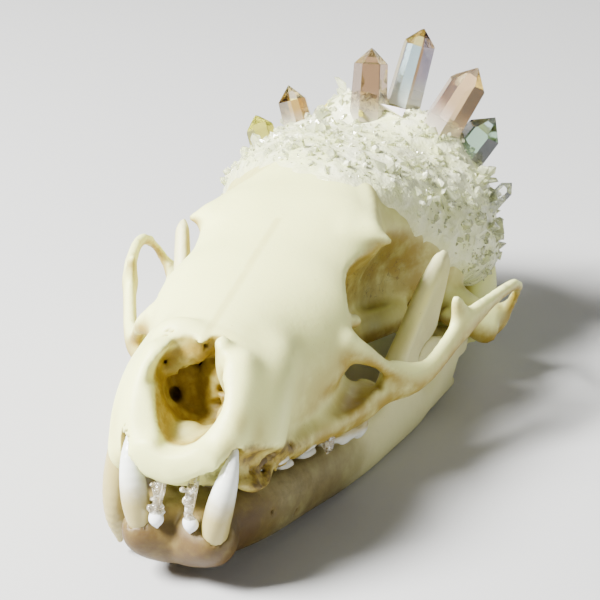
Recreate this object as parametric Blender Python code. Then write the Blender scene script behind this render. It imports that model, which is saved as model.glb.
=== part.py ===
"""Pine marten skull with its lower jaw, crowned with a crust and a row of quartz crystals.

The forms are written in the skull's own frame, in millimetres: x to the skull's left, y from
the tip of the snout to the back, z up from the roots of the cheek teeth. A parent empty then tips
the skull onto the three places it rests on and puts the middle of its footprint at the origin.
"""
import math
import random

import bmesh
import bpy
from mathutils import Euler, Matrix, Vector

MM = 0.001

# Driving dimensions, in millimetres and degrees
ARCH_HALF_WIDTH = 24.3
PITCH = 6.4
FRONT_REST = (24.0, -8.45)
REST_FLAT = 0.3
MIDDLE_Y = 41.75
GAP = 0.42
JOINT_GAP = 1.05
SOCKET_GAP = 0.4
BONE_GRAIN = 0.62
SMOOTH_ROUNDS = 5
CRANIUM_KEPT = 0.031
MANDIBLE_KEPT = 0.053
CRUST_KEPT = 0.10

# The skull from snout to neck: y, half width, top, bottom, height of the widest line,
# roundness above it and roundness below it (2 is an ellipse, more is squarer)
SECTIONS = [
    (0.6, 3.8, 4.6, 1.2, 2.8, 2.2, 2.2),
    (2.0, 5.2, 8.2, 0.8, 3.4, 2.2, 2.4),
    (4.0, 6.4, 11.2, 0.6, 4.0, 2.2, 2.6),
    (6.0, 7.3, 13.0, 0.5, 4.6, 2.2, 2.8),
    (9.0, 8.0, 14.1, 0.4, 5.2, 2.2, 3.0),
    (13.0, 8.4, 15.2, 0.3, 5.8, 2.2, 3.0),
    (17.0, 9.2, 16.3, 0.2, 6.6, 2.2, 3.0),
    (21.0, 10.8, 17.4, 0.2, 8.0, 2.2, 3.0),
    (25.0, 11.6, 18.6, 0.4, 10.0, 2.2, 2.6),
    (30.0, 11.2, 19.9, 1.0, 11.5, 2.2, 2.4),
    (35.0, 10.9, 21.4, 2.0, 13.4, 2.6, 2.0),
    (39.0, 11.0, 22.4, 2.6, 15.0, 3.0, 2.0),
    (43.0, 10.4, 23.1, 3.0, 15.0, 2.8, 2.0),
    (47.0, 10.4, 23.8, 3.2, 13.8, 2.5, 2.2),
    (52.0, 12.2, 24.4, 3.4, 12.8, 2.3, 2.3),
    (58.0, 14.8, 24.9, 3.4, 12.2, 2.15, 2.4),
    (64.0, 17.0, 25.0, 3.4, 11.8, 2.1, 2.5),
    (70.0, 17.4, 24.4, 3.4, 11.2, 2.1, 2.5),
    (75.0, 16.4, 23.0, 3.4, 10.6, 2.1, 2.4),
    (79.0, 13.6, 20.6, 3.6, 10.4, 2.1, 2.2),
    (82.0, 9.6, 16.6, 4.2, 10.0, 2.0, 2.0),
    (83.6, 5.0, 13.0, 6.0, 9.8, 2.0, 2.0),
]

OUT = (1, 0, 0)
BACK = (0, 1, 0)
CHEEK = (0.8, -0.5, 0)
ARCH_FRONT = (0.92, -0.4, 0)
JAW_SIDE = (0.94, -0.33, 0)
NECK_WAY = (0.3, 0.95, 0)

# Limbs: a curve of points, each with its half width along the facing direction and its half
# width across it
LIP = [((4.7, 6.6, 11.8), 0.8, 1.0), ((5.2, 4.8, 9.4), 1.0, 1.4), ((5.1, 3.1, 6.6), 1.2, 1.8),
       ((3.6, 1.7, 4.0), 1.5, 2.0), ((0, 1.2, 3.0), 1.7, 2.0)]
CANINE_ROOT = [((6.9, 5.6, 1.6), 1.7, 2.3), ((7.1, 6.8, 4.5), 1.5, 2.2), ((6.9, 9.5, 8.0), 1.4, 1.9),
               ((6.6, 13.0, 10.4), 0.8, 1.0)]
TOOTH_EDGE = [((6.6, 4.6, 2.0), 1.4, 1.5), ((7.2, 8.0, 1.5), 1.4, 1.5), ((7.9, 13.0, 1.3), 1.4, 1.5),
              ((9.0, 18.0, 1.3), 1.4, 1.5), ((10.6, 23.0, 1.5), 1.4, 1.5), ((12.0, 28.0, 2.0), 1.4, 1.5),
              ((12.0, 31.5, 2.8), 1.4, 1.5)]
CHEEK_ROOT = [((10.0, 22.0, 3.2), 2.2, 3.0), ((11.8, 26.5, 3.6), 2.3, 3.2), ((13.9, 29.8, 4.2), 1.9, 2.6),
              ((15.9, 32.2, 4.4), 1.4, 2.2)]
BROW_PROCESS = [((7.2, 37.0, 19.0), 2.8, 1.4), ((9.6, 37.3, 19.0), 1.8, 1.1), ((11.8, 37.7, 18.5), 0.6, 0.6)]
TEMPLE_LINE = [((9.6, 38.0, 19.2), 0.8, 0.8), ((8.6, 41.5, 20.0), 0.8, 0.8), ((7.0, 46.0, 21.2), 0.8, 0.8),
               ((3.4, 53.0, 23.6), 0.7, 0.7)]
FORAMEN_BAR = [((11.2, 23.4, 10.0), 1.1, 1.6), ((12.7, 25.0, 8.8), 1.2, 1.2), ((14.4, 28.2, 6.6), 1.3, 1.1),
               ((16.6, 32.4, 5.4), 1.3, 1.6)]
ARCH_BEFORE = [((15.0, 30.0, 4.4), 1.4, 2.4), ((16.9, 32.4, 4.4), 1.2, 2.1), ((18.3, 34.9, 5.0), 1.1, 1.8),
               ((19.4, 37.4, 6.6), 1.1, 1.95), ((20.5, 40.0, 8.3), 1.1, 2.1), ((21.7, 43.0, 9.6), 1.1, 1.8),
               ((22.6, 46.2, 10.2), 1.1, 1.5), ((23.6, 50.3, 10.7), 1.1, 1.35),
               ((24.2, 54.0, 10.5), 1.1, 1.35), ((ARCH_HALF_WIDTH, 57.0, 9.5), 1.1, 1.35)]
ARCH_BEHIND = [((ARCH_HALF_WIDTH, 56.6, 9.7), 1.3, 1.1), ((23.8, 59.0, 7.8), 1.2, 1.3),
               ((22.2, 60.0, 5.1), 1.5, 1.5), ((20.6, 60.2, 3.5), 1.9, 1.8), ((18.2, 60.4, 3.0), 2.3, 2.0),
               ((14.6, 61.0, 4.0), 3.0, 3.0)]
CHEEK_PROCESS = [((20.6, 40.6, 9.0), 0.9, 2.0), ((20.2, 39.8, 11.0), 0.75, 1.2),
                 ((20.0, 39.2, 12.0), 0.6, 0.7)]
JOINT_LIP = [((20.8, 57.9, 3.0), 0.8, 1.3), ((18.6, 57.4, 2.3), 0.8, 1.5), ((16.4, 57.6, 2.8), 0.8, 1.2)]
JOINT_WALL = [((20.6, 61.8, 1.6), 0.9, 2.0), ((17.0, 62.2, 0.2), 0.95, 2.6), ((13.4, 62.4, 0.8), 0.95, 2.4)]
SIDE_WALL = [((7.2, 42.0, 5.6), 1.3, 2.0), ((8.8, 48.0, 5.2), 1.3, 2.0), ((10.2, 53.0, 4.8), 1.3, 1.8)]
WING_PLATE = [((4.4, 40.0, 3.6), 0.8, 2.2), ((4.5, 47.0, 2.4), 0.8, 2.2), ((4.6, 54.0, 1.8), 0.8, 1.6),
              ((4.9, 57.0, 0.6), 0.7, 0.9)]
NECK_CREST = [((17.2, 74.5, 7.0), 0.9, 1.6), ((15.6, 78.0, 12.6), 0.9, 1.5), ((11.0, 80.4, 17.6), 0.9, 1.5),
              ((5.0, 81.2, 20.8), 0.9, 1.6), ((0, 81.4, 22.0), 0.9, 1.7)]
MID_CREST = [((0, 54.0, 23.5), 0.7, 0.9), ((0, 62.0, 24.2), 0.7, 0.9), ((0, 70.0, 23.8), 0.7, 0.9),
             ((0, 78.0, 22.3), 0.7, 1.3), ((0, 81.4, 22.0), 0.7, 1.6)]
CONDYLE = [((13.6, 59.6, 0.7), 1.65, 1.65), ((17.0, 59.3, 0.6), 1.65, 1.65), ((20.2, 59.0, 0.9), 1.65, 1.65)]
FORAMEN = [((11.8, 18.0, 4.6), 1.9, 2.1), ((12.3, 23.4, 5.2), 1.75, 1.9), ((12.0, 30.0, 6.4), 2.4, 2.2)]
NOSE = [((0, -4.0, 9.2), 3.8, 4.0), ((0, 2.0, 8.9), 3.8, 3.9), ((0, 8.0, 8.4), 4.2, 4.2),
        ((0, 18.0, 8.4), 4.8, 4.6), ((0, 27.0, 9.4), 4.2, 4.0)]
NOSE_NOTCH = [((2.2, 0.0, 12.6), 1.7, 2.0), ((2.2, 7.0, 11.5), 1.7, 1.6), ((2.1, 11.0, 11.2), 1.6, 1.6)]

JAW_BODY = [((2.0, 3.4, -5.4), 2.2, 3.4), ((4.4, 8.0, -5.3), 2.3, 3.8), ((6.4, 13.0, -5.2), 2.1, 3.5),
            ((8.2, 19.0, -5.1), 2.0, 3.35), ((9.9, 25.0, -5.05), 1.9, 3.35), ((11.6, 31.0, -4.7), 1.8, 3.3),
            ((13.2, 37.0, -3.6), 1.6, 3.4), ((14.6, 43.0, -2.5), 1.4, 3.7), ((15.6, 49.0, -1.8), 1.2, 3.0),
            ((16.3, 54.0, -1.6), 1.1, 2.2)]
JAW_ANGLE = [((15.4, 49.0, -3.2), 1.1, 1.6), ((16.0, 53.5, -3.7), 1.1, 1.3), ((16.3, 57.6, -4.4), 1.2, 1.2)]
JAW_BLADE = [((13.9, 42.0, -0.5), 1.1, 6.4), ((14.5, 43.2, 4.0), 0.95, 4.4), ((15.4, 45.0, 9.0), 0.9, 3.2),
             ((16.2, 46.8, 13.0), 0.85, 2.2), ((16.5, 47.6, 14.4), 0.7, 1.2)]
BLADE_RIDGE = [((12.6, 35.6, -1.0), 1.2, 1.4), ((13.3, 38.2, 2.6), 1.1, 1.2), ((14.2, 41.2, 7.0), 1.1, 1.0),
               ((15.4, 44.2, 11.8), 0.9, 0.9), ((16.3, 46.4, 14.4), 0.7, 0.7)]
JAW_NECK = [((15.4, 49.0, 1.2), 1.0, 3.0), ((16.2, 54.0, 0.6), 1.1, 2.2), ((16.8, 58.6, 0.4), 1.4, 1.4)]

# Egg-shaped lumps and hollows: middle, half sizes and turn in degrees
EAR_CAPSULE = ((9.8, 67.5, 2.6), (5.0, 8.6, 4.6), (0, 0, 12))
MASTOID = ((16.6, 73.0, 4.4), (2.6, 3.4, 3.4))
EAR_PROCESS = ((12.8, 78.0, 3.6), (2.0, 2.2, 3.4))
NECK_CONDYLE = ((5.0, 82.6, 4.6), (2.6, 2.8, 3.4), (0, 20, 0))
ORBIT = ((15.8, 33.0, 10.8), (9.6, 9.4, 8.1), (0, 0, -8))
TEMPLE = ((16.8, 45.5, 8.8), (9.8, 10.0, 10.0), (0, 0, 8))
THROAT_SIDE = ((15.5, 43.0, 2.0), (8.8, 9.0, 7.0))
PALATE = ((0, 20.0, -1.2), (6.6, 19.0, 3.2))
THROAT = ((0, 50.0, -0.4), (3.6, 12.0, 5.0))
NECK_OPENING = ((0, 82.0, 9.2), (5.6, 9.0, 4.6))
BRAIN_ROOM = ((0, 65.0, 13.2), (14.2, 15.3, 9.0))
CHIN = ((1.0, 5.6, -5.8), (2.8, 4.0, 3.2), (20, 0, 0))
CANINE_SEAT = ((4.0, 2.0, -4.2), (2.2, 2.3, 2.2))
BITE_HOLLOW = ((19.2, 44.0, 1.6), (4.2, 6.6, 5.0), (0, 0, 18))

# Canines, from the root to the tip
UPPER_CANINE = [((-7.3, 8.0, 4.6), 1.2, 1.5), ((-7.6, 6.2, 1.6), 1.6, 2.1), ((-7.75, 4.9, -2.0), 1.6, 2.0),
                ((-7.75, 4.6, -5.4), 1.2, 1.4), ((-7.6, 5.4, -8.6), 0.35, 0.4)]
LOWER_CANINE = [((4.1, 2.6, -6.2), 1.2, 1.4), ((4.3, 0.9, -4.2), 1.5, 1.8), ((4.9, 0.3, -1.2), 1.5, 1.7),
                ((5.5, 0.8, 2.0), 1.1, 1.2), ((5.8, 1.9, 4.6), 0.35, 0.4)]

# Cheek teeth: name, place of the crown's middle, direction of the row as degrees from y,
# half width across the row and along it, height of the root and of the cusp
UPPER_TEETH = [
    ("upper_premolar_front", (7.9, 11.2), 10, 0.8, 1.4, 3.2, -1.1),
    ("upper_premolar_back", (9.3, 16.6), 16, 0.85, 1.9, 3.2, -1.2),
    ("upper_carnassial", (12.3, 24.6), 22, 0.9, 3.4, 1.7, -2.7),
    ("upper_molar", (10.7, 30.6), -62, 1.6, 2.8, 2.2, -0.7),
]
LOWER_TEETH = [
    ("lower_premolar_front", (5.7, 11.8), 20, 0.8, 1.4, -4.2, -0.75),
    ("lower_premolar_middle", (6.9, 15.6), 18, 0.85, 1.6, -4.2, -0.7),
    ("lower_premolar_back", (8.1, 19.8), 17, 0.85, 1.9, -4.2, -0.7),
    ("lower_carnassial", (9.7, 25.4), 16, 1.0, 3.0, -4.2, -0.5),
]
CUSP = 0.4

# Clear slivers that stand in for the front teeth and for a missing premolar, from root to tip
SLIVERS = [
    ("incisor_left", [((1.9, 1.6, 2.2), 0.5, 0.5), ((1.9, 0.3, 0.2), 0.7, 0.6),
                      ((1.8, -0.5, -1.9), 0.6, 0.6), ((1.7, -0.6, -3.1), 0.8, 0.7)]),
    ("incisor_right", [((-1.7, 1.6, 2.2), 0.5, 0.5), ((-1.7, 0.3, 0.2), 0.7, 0.6),
                       ((-1.9, -0.5, -1.9), 0.6, 0.6), ((-2.0, -0.6, -3.1), 0.8, 0.7)]),
]
ROW_CRYSTAL = ((10.6, 20.4, 1.8), (10.6, 19.8, -1.5), 0.8, 0.9, 0)

# Quartz crystals in the crown: root, tip, half width, length of the pointed end, turn on the axis
QUARTZ_POINTS = [
    ((-11.6, 69.4, 22.5), (-13.1, 70.0, 24.6), 1.5, 1.4, 10),
    ((-8.6, 69.6, 25.1), (-10.4, 70.0, 29.4), 1.95, 1.7, 25),
    ((1.1, 68.6, 26.3), (0.8, 69.8, 35.6), 2.35, 2.6, 0),
    ((4.9, 72.4, 28.0), (7.0, 72.6, 38.3), 2.4, 3.0, 15),
    ((10.9, 69.0, 26.0), (15.0, 69.8, 34.3), 2.4, 2.8, 5),
    ((13.4, 70.4, 21.6), (17.6, 70.8, 27.9), 2.1, 2.3, 20),
    ((17.5, 68.6, 16.0), (20.6, 69.5, 19.8), 1.15, 1.5, 0),
]
FACET_SHRINK = 0.86

# The crust of chips: it covers the braincase behind a slanting line and grows into a mound
CRUST_THICKNESS = 1.9
CRUST_ROWS = (38, 79)
CRUST_GRAIN = 1.3
CRUST_FRONT_Y = 44.5
CRUST_FRONT_Z = 23.2
CRUST_SLOPE = 1.15
CRUST_SIDE_SLOPE = 0.7
CRUST_LOW_Z = 7.2
CRUST_MOUNDS = [((6.4, 69.5, 19.4), (10.4, 7.6, 9.2)), ((-4.6, 69.0, 17.4), (9.6, 7.4, 8.8)),
                ((-1.0, 71.5, 20.0), (7.6, 6.0, 10.2)), ((13.0, 68.5, 14.6), (6.2, 6.8, 8.0))]
CHIP_COUNT = 42
CHIP_SEED = 3
CHIP_PLACES = (46, 73)
CHIP_TURN = 100
CHIP_LEAN = 0.5
CHIP_SIZES = (1.0, 2.2)
CHIP_HEIGHTS = (0.7, 1.9)
CHIP_MARGIN = 0.6
CHIP_ROOT = 1.3

# The bone under the crust, kept clear of it
BED_START = 34
BED_GAP = 0.9
BED_GRAIN = 1.0
BED_KEPT = 0.05

# Blocks that are larger than the skull, for plane cuts
ROOM_MIDDLE = Vector((0, 66, 20))
ROOM_SIZE = 100
FLOOR_SIZE = Vector((60, 120, 20))


def smooth_through(values, per_span):
    """Points on a smooth curve through the given points, a few to each span."""
    points = [Vector(value) for value in values]
    last = len(points) - 1
    curve = []
    for i in range(last):
        before = points[max(i - 1, 0)]
        start, end = points[i], points[i + 1]
        after = points[min(i + 2, last)]
        for step in range(per_span):
            t = step / per_span
            slope_in = (end - before) / (2 if i > 0 else 1)
            slope_out = (after - start) / (2 if i + 2 <= last else 1)
            curve.append(start * (1 + 2 * t) * (1 - t) ** 2 + slope_in * t * (1 - t) ** 2
                         + end * t * t * (3 - 2 * t) + slope_out * t * t * (t - 1))
    curve.append(points[-1])
    return curve


def add_rings(mesh, rings):
    """Skin a run of rings with faces and close both ends."""
    loops = [[mesh.verts.new(point * MM) for point in ring] for ring in rings]
    count = len(loops[0])
    for low, high in zip(loops, loops[1:]):
        for i in range(count):
            j = (i + 1) % count
            mesh.faces.new((low[i], low[j], high[j], high[i]))
    mesh.faces.new(list(reversed(loops[0])))
    mesh.faces.new(loops[-1])


def add_loft(mesh, sections, sides=28, per_span=2, fatter=0.0):
    """The long body of the skull: rounded sections along y."""
    rings = []
    rows = smooth_through([Vector(row) for row in sections], per_span)
    for y, half, top, bottom, widest, above, below in rows:
        ring = []
        for i in range(sides):
            turn = 2 * math.pi * i / sides
            c, s = math.cos(turn), math.sin(turn)
            power = 2 / (above if s > 0 else below)
            x = math.copysign(abs(c) ** power, c) * (half + fatter)
            reach = (top - widest if s > 0 else widest - bottom) + fatter
            ring.append(Vector((x, y, widest + math.copysign(abs(s) ** power, s) * reach)))
        rings.append(ring)
    add_rings(mesh, rings)


def add_limb(mesh, limb, facing, side=1, sides=12, per_span=3, fatter=0.0, domes=(0.55, 1.05, 1.45)):
    """A tapering limb with rounded ends along a smooth curve, on one side of the skull."""
    rows = smooth_through([Vector((*place, thick, tall)) for place, thick, tall in limb], per_span)
    centres = [Vector((row[0] * side, row[1], row[2])) for row in rows]
    facing = Vector((facing[0] * side, facing[1], facing[2]))
    frames = []
    for i, centre in enumerate(centres):
        along = (centres[min(i + 1, len(centres) - 1)] - centres[max(i - 1, 0)]).normalized()
        across = (facing - along * facing.dot(along)).normalized()
        frames.append((centre, along, across, along.cross(across), rows[i][3] + fatter, rows[i][4] + fatter))
    stops = [(frames[0], -math.sin(a), math.cos(a)) for a in reversed(domes)]
    stops += [(frame, 0.0, 1.0) for frame in frames]
    stops += [(frames[-1], math.sin(a), math.cos(a)) for a in domes]
    rings = []
    for (centre, along, across, upright, thick, tall), ahead, scale in stops:
        middle = centre + along * ahead * min(thick, tall)
        ring = []
        for i in range(sides):
            turn = 2 * math.pi * i / sides
            sideways = across * thick * math.cos(turn)
            ring.append(middle + (sideways + upright * tall * math.sin(turn)) * scale)
        rings.append(ring)
    add_rings(mesh, rings)


def add_egg(mesh, centre, radii, turned=(0, 0, 0), side=1, fatter=0.0, segments=20):
    """An egg-shaped lump or hollow, on one side of the skull."""
    place = Matrix.Translation(Vector((centre[0] * side, centre[1], centre[2])) * MM)
    spin = Euler([math.radians(turned[0]), math.radians(turned[1] * side), math.radians(turned[2] * side)])
    size = Matrix.Diagonal([*((r + fatter) * MM for r in radii), 1])
    bmesh.ops.create_uvsphere(mesh, u_segments=segments, v_segments=segments // 2, radius=1,
                              matrix=place @ spin.to_matrix().to_4x4() @ size)


def add_both(mesh, limb, facing, **more):
    """The same limb on both sides of the skull."""
    for side in (1, -1):
        add_limb(mesh, limb, facing, side, **more)


def finish(name, mesh, material=None, cutter=False):
    """Turn a mesh under construction into an object in the scene."""
    bmesh.ops.recalc_face_normals(mesh, faces=mesh.faces)
    data = bpy.data.meshes.new(name)
    mesh.to_mesh(data)
    mesh.free()
    if material:
        data.materials.append(material)
    thing = bpy.data.objects.new(name, data)
    bpy.context.scene.collection.objects.link(thing)
    if cutter:
        thing.hide_render = True
        thing.display_type = "WIRE"
    return thing


def melt(thing, grain=BONE_GRAIN):
    """Fuse overlapping lumps into one skin."""
    fused = thing.modifiers.new("fuse", "REMESH")
    fused.mode = "VOXEL"
    fused.voxel_size = grain * MM


def smooth(thing, rounds=SMOOTH_ROUNDS):
    """Round off the steps and creases of a fused skin."""
    eased = thing.modifiers.new("ease", "SMOOTH")
    eased.factor = 0.5
    eased.iterations = rounds


def combine(thing, other, operation="DIFFERENCE", overlapping=False):
    """Cut another object out of this one, add it or keep only what both share."""
    step = thing.modifiers.new(operation.lower(), "BOOLEAN")
    step.operation = operation
    step.object = other
    step.solver = "EXACT"
    step.use_self = overlapping


def thin_out(thing, kept):
    """Leave only the faces that the form needs."""
    fewer = thing.modifiers.new("facets", "DECIMATE")
    fewer.ratio = kept


def material(name, colour, roughness, metallic=0.0, transmission=0.0):
    """A plain material with the colour and gloss of one kind of surface."""
    made = bpy.data.materials.new(name)
    made.use_nodes = True
    shader = made.node_tree.nodes["Principled BSDF"]
    shader.inputs["Base Color"].default_value = (*colour, 1)
    shader.inputs["Roughness"].default_value = roughness
    shader.inputs["Metallic"].default_value = metallic
    shader.inputs["Transmission Weight"].default_value = transmission
    return made


def bone_union(name, add_lumps):
    """A bone's outer form, fused from its lumps and still without its hollows."""
    mesh = bmesh.new()
    add_lumps(mesh)
    bone = finish(name, mesh)
    melt(bone)
    smooth(bone)
    return bone


def carve(bone, name, add_hollows, kept):
    """Cut the open hollows into a bone, ease their rims and leave a moderate number of facets."""
    mesh = bmesh.new()
    add_hollows(mesh)
    hollows = finish(name, mesh, cutter=True)
    melt(hollows)
    combine(bone, hollows)
    melt(bone)
    smooth(bone, 2)
    thin_out(bone, kept)


def seat(bone, name, add_sockets):
    """Cut the sockets of the separate pieces sharply, so that each keeps its gap all round."""
    mesh = bmesh.new()
    add_sockets(mesh)
    combine(bone, finish(name, mesh, cutter=True), overlapping=True)


def add_tooth(mesh, row, side, fatter=0.0):
    """A cheek tooth: a root that narrows into the bone and a crown that narrows to a blade."""
    (x, y), turned, across, along, root, cusp = row[1:]
    turn = math.radians(turned)
    facing = (math.cos(turn), -math.sin(turn), 0)
    down = 1 if cusp < root else -1
    neck = 0.55 * root + 0.45 * cusp
    steps = [(root, 0.7, 0.72), (neck, 1.0, 1.0), (cusp + down * 0.8, 0.85, 0.8), (cusp, CUSP, 0.35)]
    limb = [((x, y, z), across * wide, along * long) for z, wide, long in steps]
    add_limb(mesh, limb, facing, side, sides=6, per_span=1, fatter=fatter, domes=(0.95,))


def add_canine(mesh, limb, side, fatter=0.0):
    """A canine with its root, curved and pointed."""
    add_limb(mesh, limb, OUT, side, sides=8, per_span=2, fatter=fatter, domes=(1.1,))


def add_sliver(mesh, limb, fatter=0.0):
    """A clear six-sided sliver."""
    add_limb(mesh, limb, OUT, sides=6, per_span=1, fatter=fatter, domes=(0.95,))


def add_crystal(mesh, root, tip, half, point, turned, fatter=0.0, sides=6):
    """A straight-sided crystal that narrows a little and ends in a slightly uneven point."""
    root, tip = Vector(root), Vector(tip)
    along = (tip - root).normalized()
    across = along.orthogonal().normalized()
    upright = along.cross(across)
    tip = tip + along * fatter
    rings = []
    stops = ((root - along * fatter, 1.0), (tip - along * (point + fatter), FACET_SHRINK), (tip, 0.12))
    for centre, scale in stops:
        ring = []
        for i in range(sides):
            turn = math.radians(360 * i / sides + turned)
            reach = (half + fatter) * scale * (1.0 if i % 2 else 0.93)
            ring.append(centre + (across * math.cos(turn) + upright * math.sin(turn)) * reach)
        rings.append(ring)
    add_rings(mesh, rings)


def skull_surface(y, turned):
    """A point on the braincase and the way out of it, at a turn from the top towards the left."""
    rows = smooth_through([Vector(row) for row in SECTIONS], 4)
    row = min(rows, key=lambda section: abs(section[0] - y))
    turn = math.radians(90 - turned)
    c, s = math.cos(turn), math.sin(turn)
    power = 2 / (row[5] if s > 0 else row[6])
    reach = row[2] - row[4] if s > 0 else row[4] - row[3]
    x = math.copysign(abs(c) ** power, c) * row[1]
    point = Vector((x, y, row[4] + math.copysign(abs(s) ** power, s) * reach))
    return point, (point - Vector((0, 66, row[4] - 3))).normalized()


def inside_crust(point, margin):
    """Whether a place on the braincase lies in the part that the crust covers."""
    front = CRUST_FRONT_Y + CRUST_SLOPE * (CRUST_FRONT_Z - point.z) - CRUST_SIDE_SLOPE * min(point.x, 0)
    return point.y > front + margin and point.z > CRUST_LOW_Z + margin


def make_cranium(bone):
    """The skull above the jaw, one bone with its hollows."""
    def lumps(mesh):
        add_loft(mesh, SECTIONS)
        add_both(mesh, LIP, OUT)
        add_both(mesh, CANINE_ROOT, OUT)
        add_both(mesh, TOOTH_EDGE, OUT)
        add_both(mesh, CHEEK_ROOT, CHEEK)
        add_both(mesh, BROW_PROCESS, BACK)
        add_both(mesh, TEMPLE_LINE, OUT)
        add_both(mesh, WING_PLATE, OUT)
        for side in (1, -1):
            for lump in (EAR_CAPSULE, MASTOID, EAR_PROCESS, NECK_CONDYLE):
                add_egg(mesh, *lump, side=side)
        add_both(mesh, NECK_CREST, NECK_WAY)
        add_limb(mesh, MID_CREST, OUT)

    def orbits(mesh):
        for side in (1, -1):
            for hollow in (ORBIT, TEMPLE, THROAT_SIDE):
                add_egg(mesh, *hollow, side=side)

    def arches(mesh):
        add_both(mesh, FORAMEN_BAR, CHEEK)
        add_both(mesh, ARCH_BEFORE, ARCH_FRONT)
        add_both(mesh, ARCH_BEHIND, BACK)
        add_both(mesh, CHEEK_PROCESS, ARCH_FRONT)
        add_both(mesh, CHEEK_ROOT, CHEEK)
        add_both(mesh, JOINT_LIP, BACK)
        add_both(mesh, JOINT_WALL, BACK)
        add_both(mesh, SIDE_WALL, JAW_SIDE)

    def hollows(mesh):
        add_both(mesh, CONDYLE, BACK, fatter=JOINT_GAP)
        add_both(mesh, FORAMEN, OUT)
        for hollow in (PALATE, THROAT, NECK_OPENING, BRAIN_ROOM):
            add_egg(mesh, *hollow)
        add_limb(mesh, NOSE, OUT)
        add_both(mesh, NOSE_NOTCH, OUT)
        add_limb(mesh, UPPER_CANINE, OUT, side=-1)

    def sockets(mesh):
        add_canine(mesh, UPPER_CANINE, 1, GAP)
        for side in (1, -1):
            add_canine(mesh, LOWER_CANINE, side, GAP)
            for row in UPPER_TEETH:
                add_tooth(mesh, row, side, GAP)
        for _, limb in SLIVERS:
            add_sliver(mesh, limb, GAP)
        add_crystal(mesh, *ROW_CRYSTAL, fatter=SOCKET_GAP)

    body = bone_union("cranium_body", lumps)
    body.hide_render = True
    body.display_type = "WIRE"
    mesh = bmesh.new()
    orbits(mesh)
    pockets = finish("orbit_cutter", mesh, cutter=True)
    melt(pockets)
    combine(body, pockets)
    mesh = bmesh.new()
    arches(mesh)
    cranium = finish("cranium", mesh, bone)
    melt(cranium)
    combine(cranium, body, "UNION")
    melt(cranium)
    smooth(cranium, 3)
    carve(cranium, "cranium_hollows", hollows, CRANIUM_KEPT)
    seat(cranium, "upper_sockets", sockets)
    return cranium


def make_mandible(bone):
    """The lower jaw, its two halves fused at the chin."""
    def lumps(mesh):
        add_both(mesh, JAW_BODY, JAW_SIDE)
        add_both(mesh, JAW_ANGLE, JAW_SIDE)
        add_both(mesh, JAW_BLADE, JAW_SIDE)
        add_both(mesh, BLADE_RIDGE, JAW_SIDE)
        add_both(mesh, JAW_NECK, JAW_SIDE)
        add_both(mesh, CONDYLE, BACK)
        for side in (1, -1):
            add_egg(mesh, *CHIN, side=side)
            add_egg(mesh, *CANINE_SEAT, side=side)

    def hollows(mesh):
        for side in (1, -1):
            add_egg(mesh, *BITE_HOLLOW, side=side)

    def sockets(mesh):
        for side in (1, -1):
            add_canine(mesh, LOWER_CANINE, side, GAP)
            for row in LOWER_TEETH:
                add_tooth(mesh, row, side, GAP)

    mandible = bone_union("mandible", lumps)
    mandible.data.materials.append(bone)
    carve(mandible, "mandible_hollows", hollows, MANDIBLE_KEPT)
    seat(mandible, "lower_sockets", sockets)
    floor = bmesh.new()
    bmesh.ops.create_cube(floor, size=1)
    bmesh.ops.scale(floor, vec=FLOOR_SIZE * MM, verts=floor.verts)
    slope = Matrix.Rotation(math.radians(PITCH), 4, "X")
    rest = Vector((0, FRONT_REST[0], FRONT_REST[1] + REST_FLAT)) * MM
    sink = Matrix.Translation((0, 0, -FLOOR_SIZE.z / 2 * MM))
    bmesh.ops.transform(floor, matrix=Matrix.Translation(rest) @ slope @ sink, verts=floor.verts)
    combine(mandible, finish("floor_cutter", floor, cutter=True))
    return mandible


def make_teeth(enamel):
    """The canines and the cheek teeth, each a piece of its own in its socket."""
    canines = [("upper_canine_right", UPPER_CANINE, 1), ("lower_canine_left", LOWER_CANINE, 1),
               ("lower_canine_right", LOWER_CANINE, -1)]
    made = []
    for name, limb, side in canines:
        mesh = bmesh.new()
        add_canine(mesh, limb, side)
        made.append(finish(name, mesh, enamel))
    for row in UPPER_TEETH + LOWER_TEETH:
        for side, word in ((1, "left"), (-1, "right")):
            mesh = bmesh.new()
            add_tooth(mesh, row, side)
            made.append(finish(f"{row[0]}_{word}", mesh, enamel))
    for tooth in made:
        tooth.data.shade_smooth()
    return made


def make_crust(quartz):
    """The bed of quartz chips on the braincase, one grown-together crust."""
    mesh = bmesh.new()
    rear = [row for row in SECTIONS if CRUST_ROWS[0] < row[0] < CRUST_ROWS[1]]
    add_loft(mesh, rear, sides=20, per_span=1, fatter=CRUST_THICKNESS)
    for centre, radii in CRUST_MOUNDS:
        add_egg(mesh, centre, radii)
    crust = finish("quartz_crust", mesh, quartz)
    melt(crust, CRUST_GRAIN)
    thin_out(crust, CRUST_KEPT)
    combine(crust, crust_room(), "INTERSECT")
    chips = bmesh.new()
    chance = random.Random(CHIP_SEED)
    placed = 0
    while placed < CHIP_COUNT:
        point, out = skull_surface(chance.uniform(*CHIP_PLACES), chance.uniform(-CHIP_TURN, CHIP_TURN))
        if not inside_crust(point, CHIP_MARGIN):
            continue
        lean = Vector([chance.uniform(-CHIP_LEAN, CHIP_LEAN) for _ in range(3)])
        way = (out + lean).normalized()
        half = chance.uniform(*CHIP_SIZES)
        root = point + out * (crust_depth(point, out) - CHIP_ROOT)
        tip = root + way * (CHIP_ROOT + chance.uniform(*CHIP_HEIGHTS))
        add_crystal(chips, root, tip, half, half * 0.9, chance.uniform(0, 60), sides=5)
        placed += 1
    combine(crust, finish("chips", chips, cutter=True), "UNION", overlapping=True)
    combine(crust, crust_bed())
    sockets = bmesh.new()
    for crystal in QUARTZ_POINTS:
        add_crystal(sockets, *crystal, fatter=SOCKET_GAP)
    combine(crust, finish("point_sockets", sockets, cutter=True), overlapping=True)
    return crust


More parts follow.
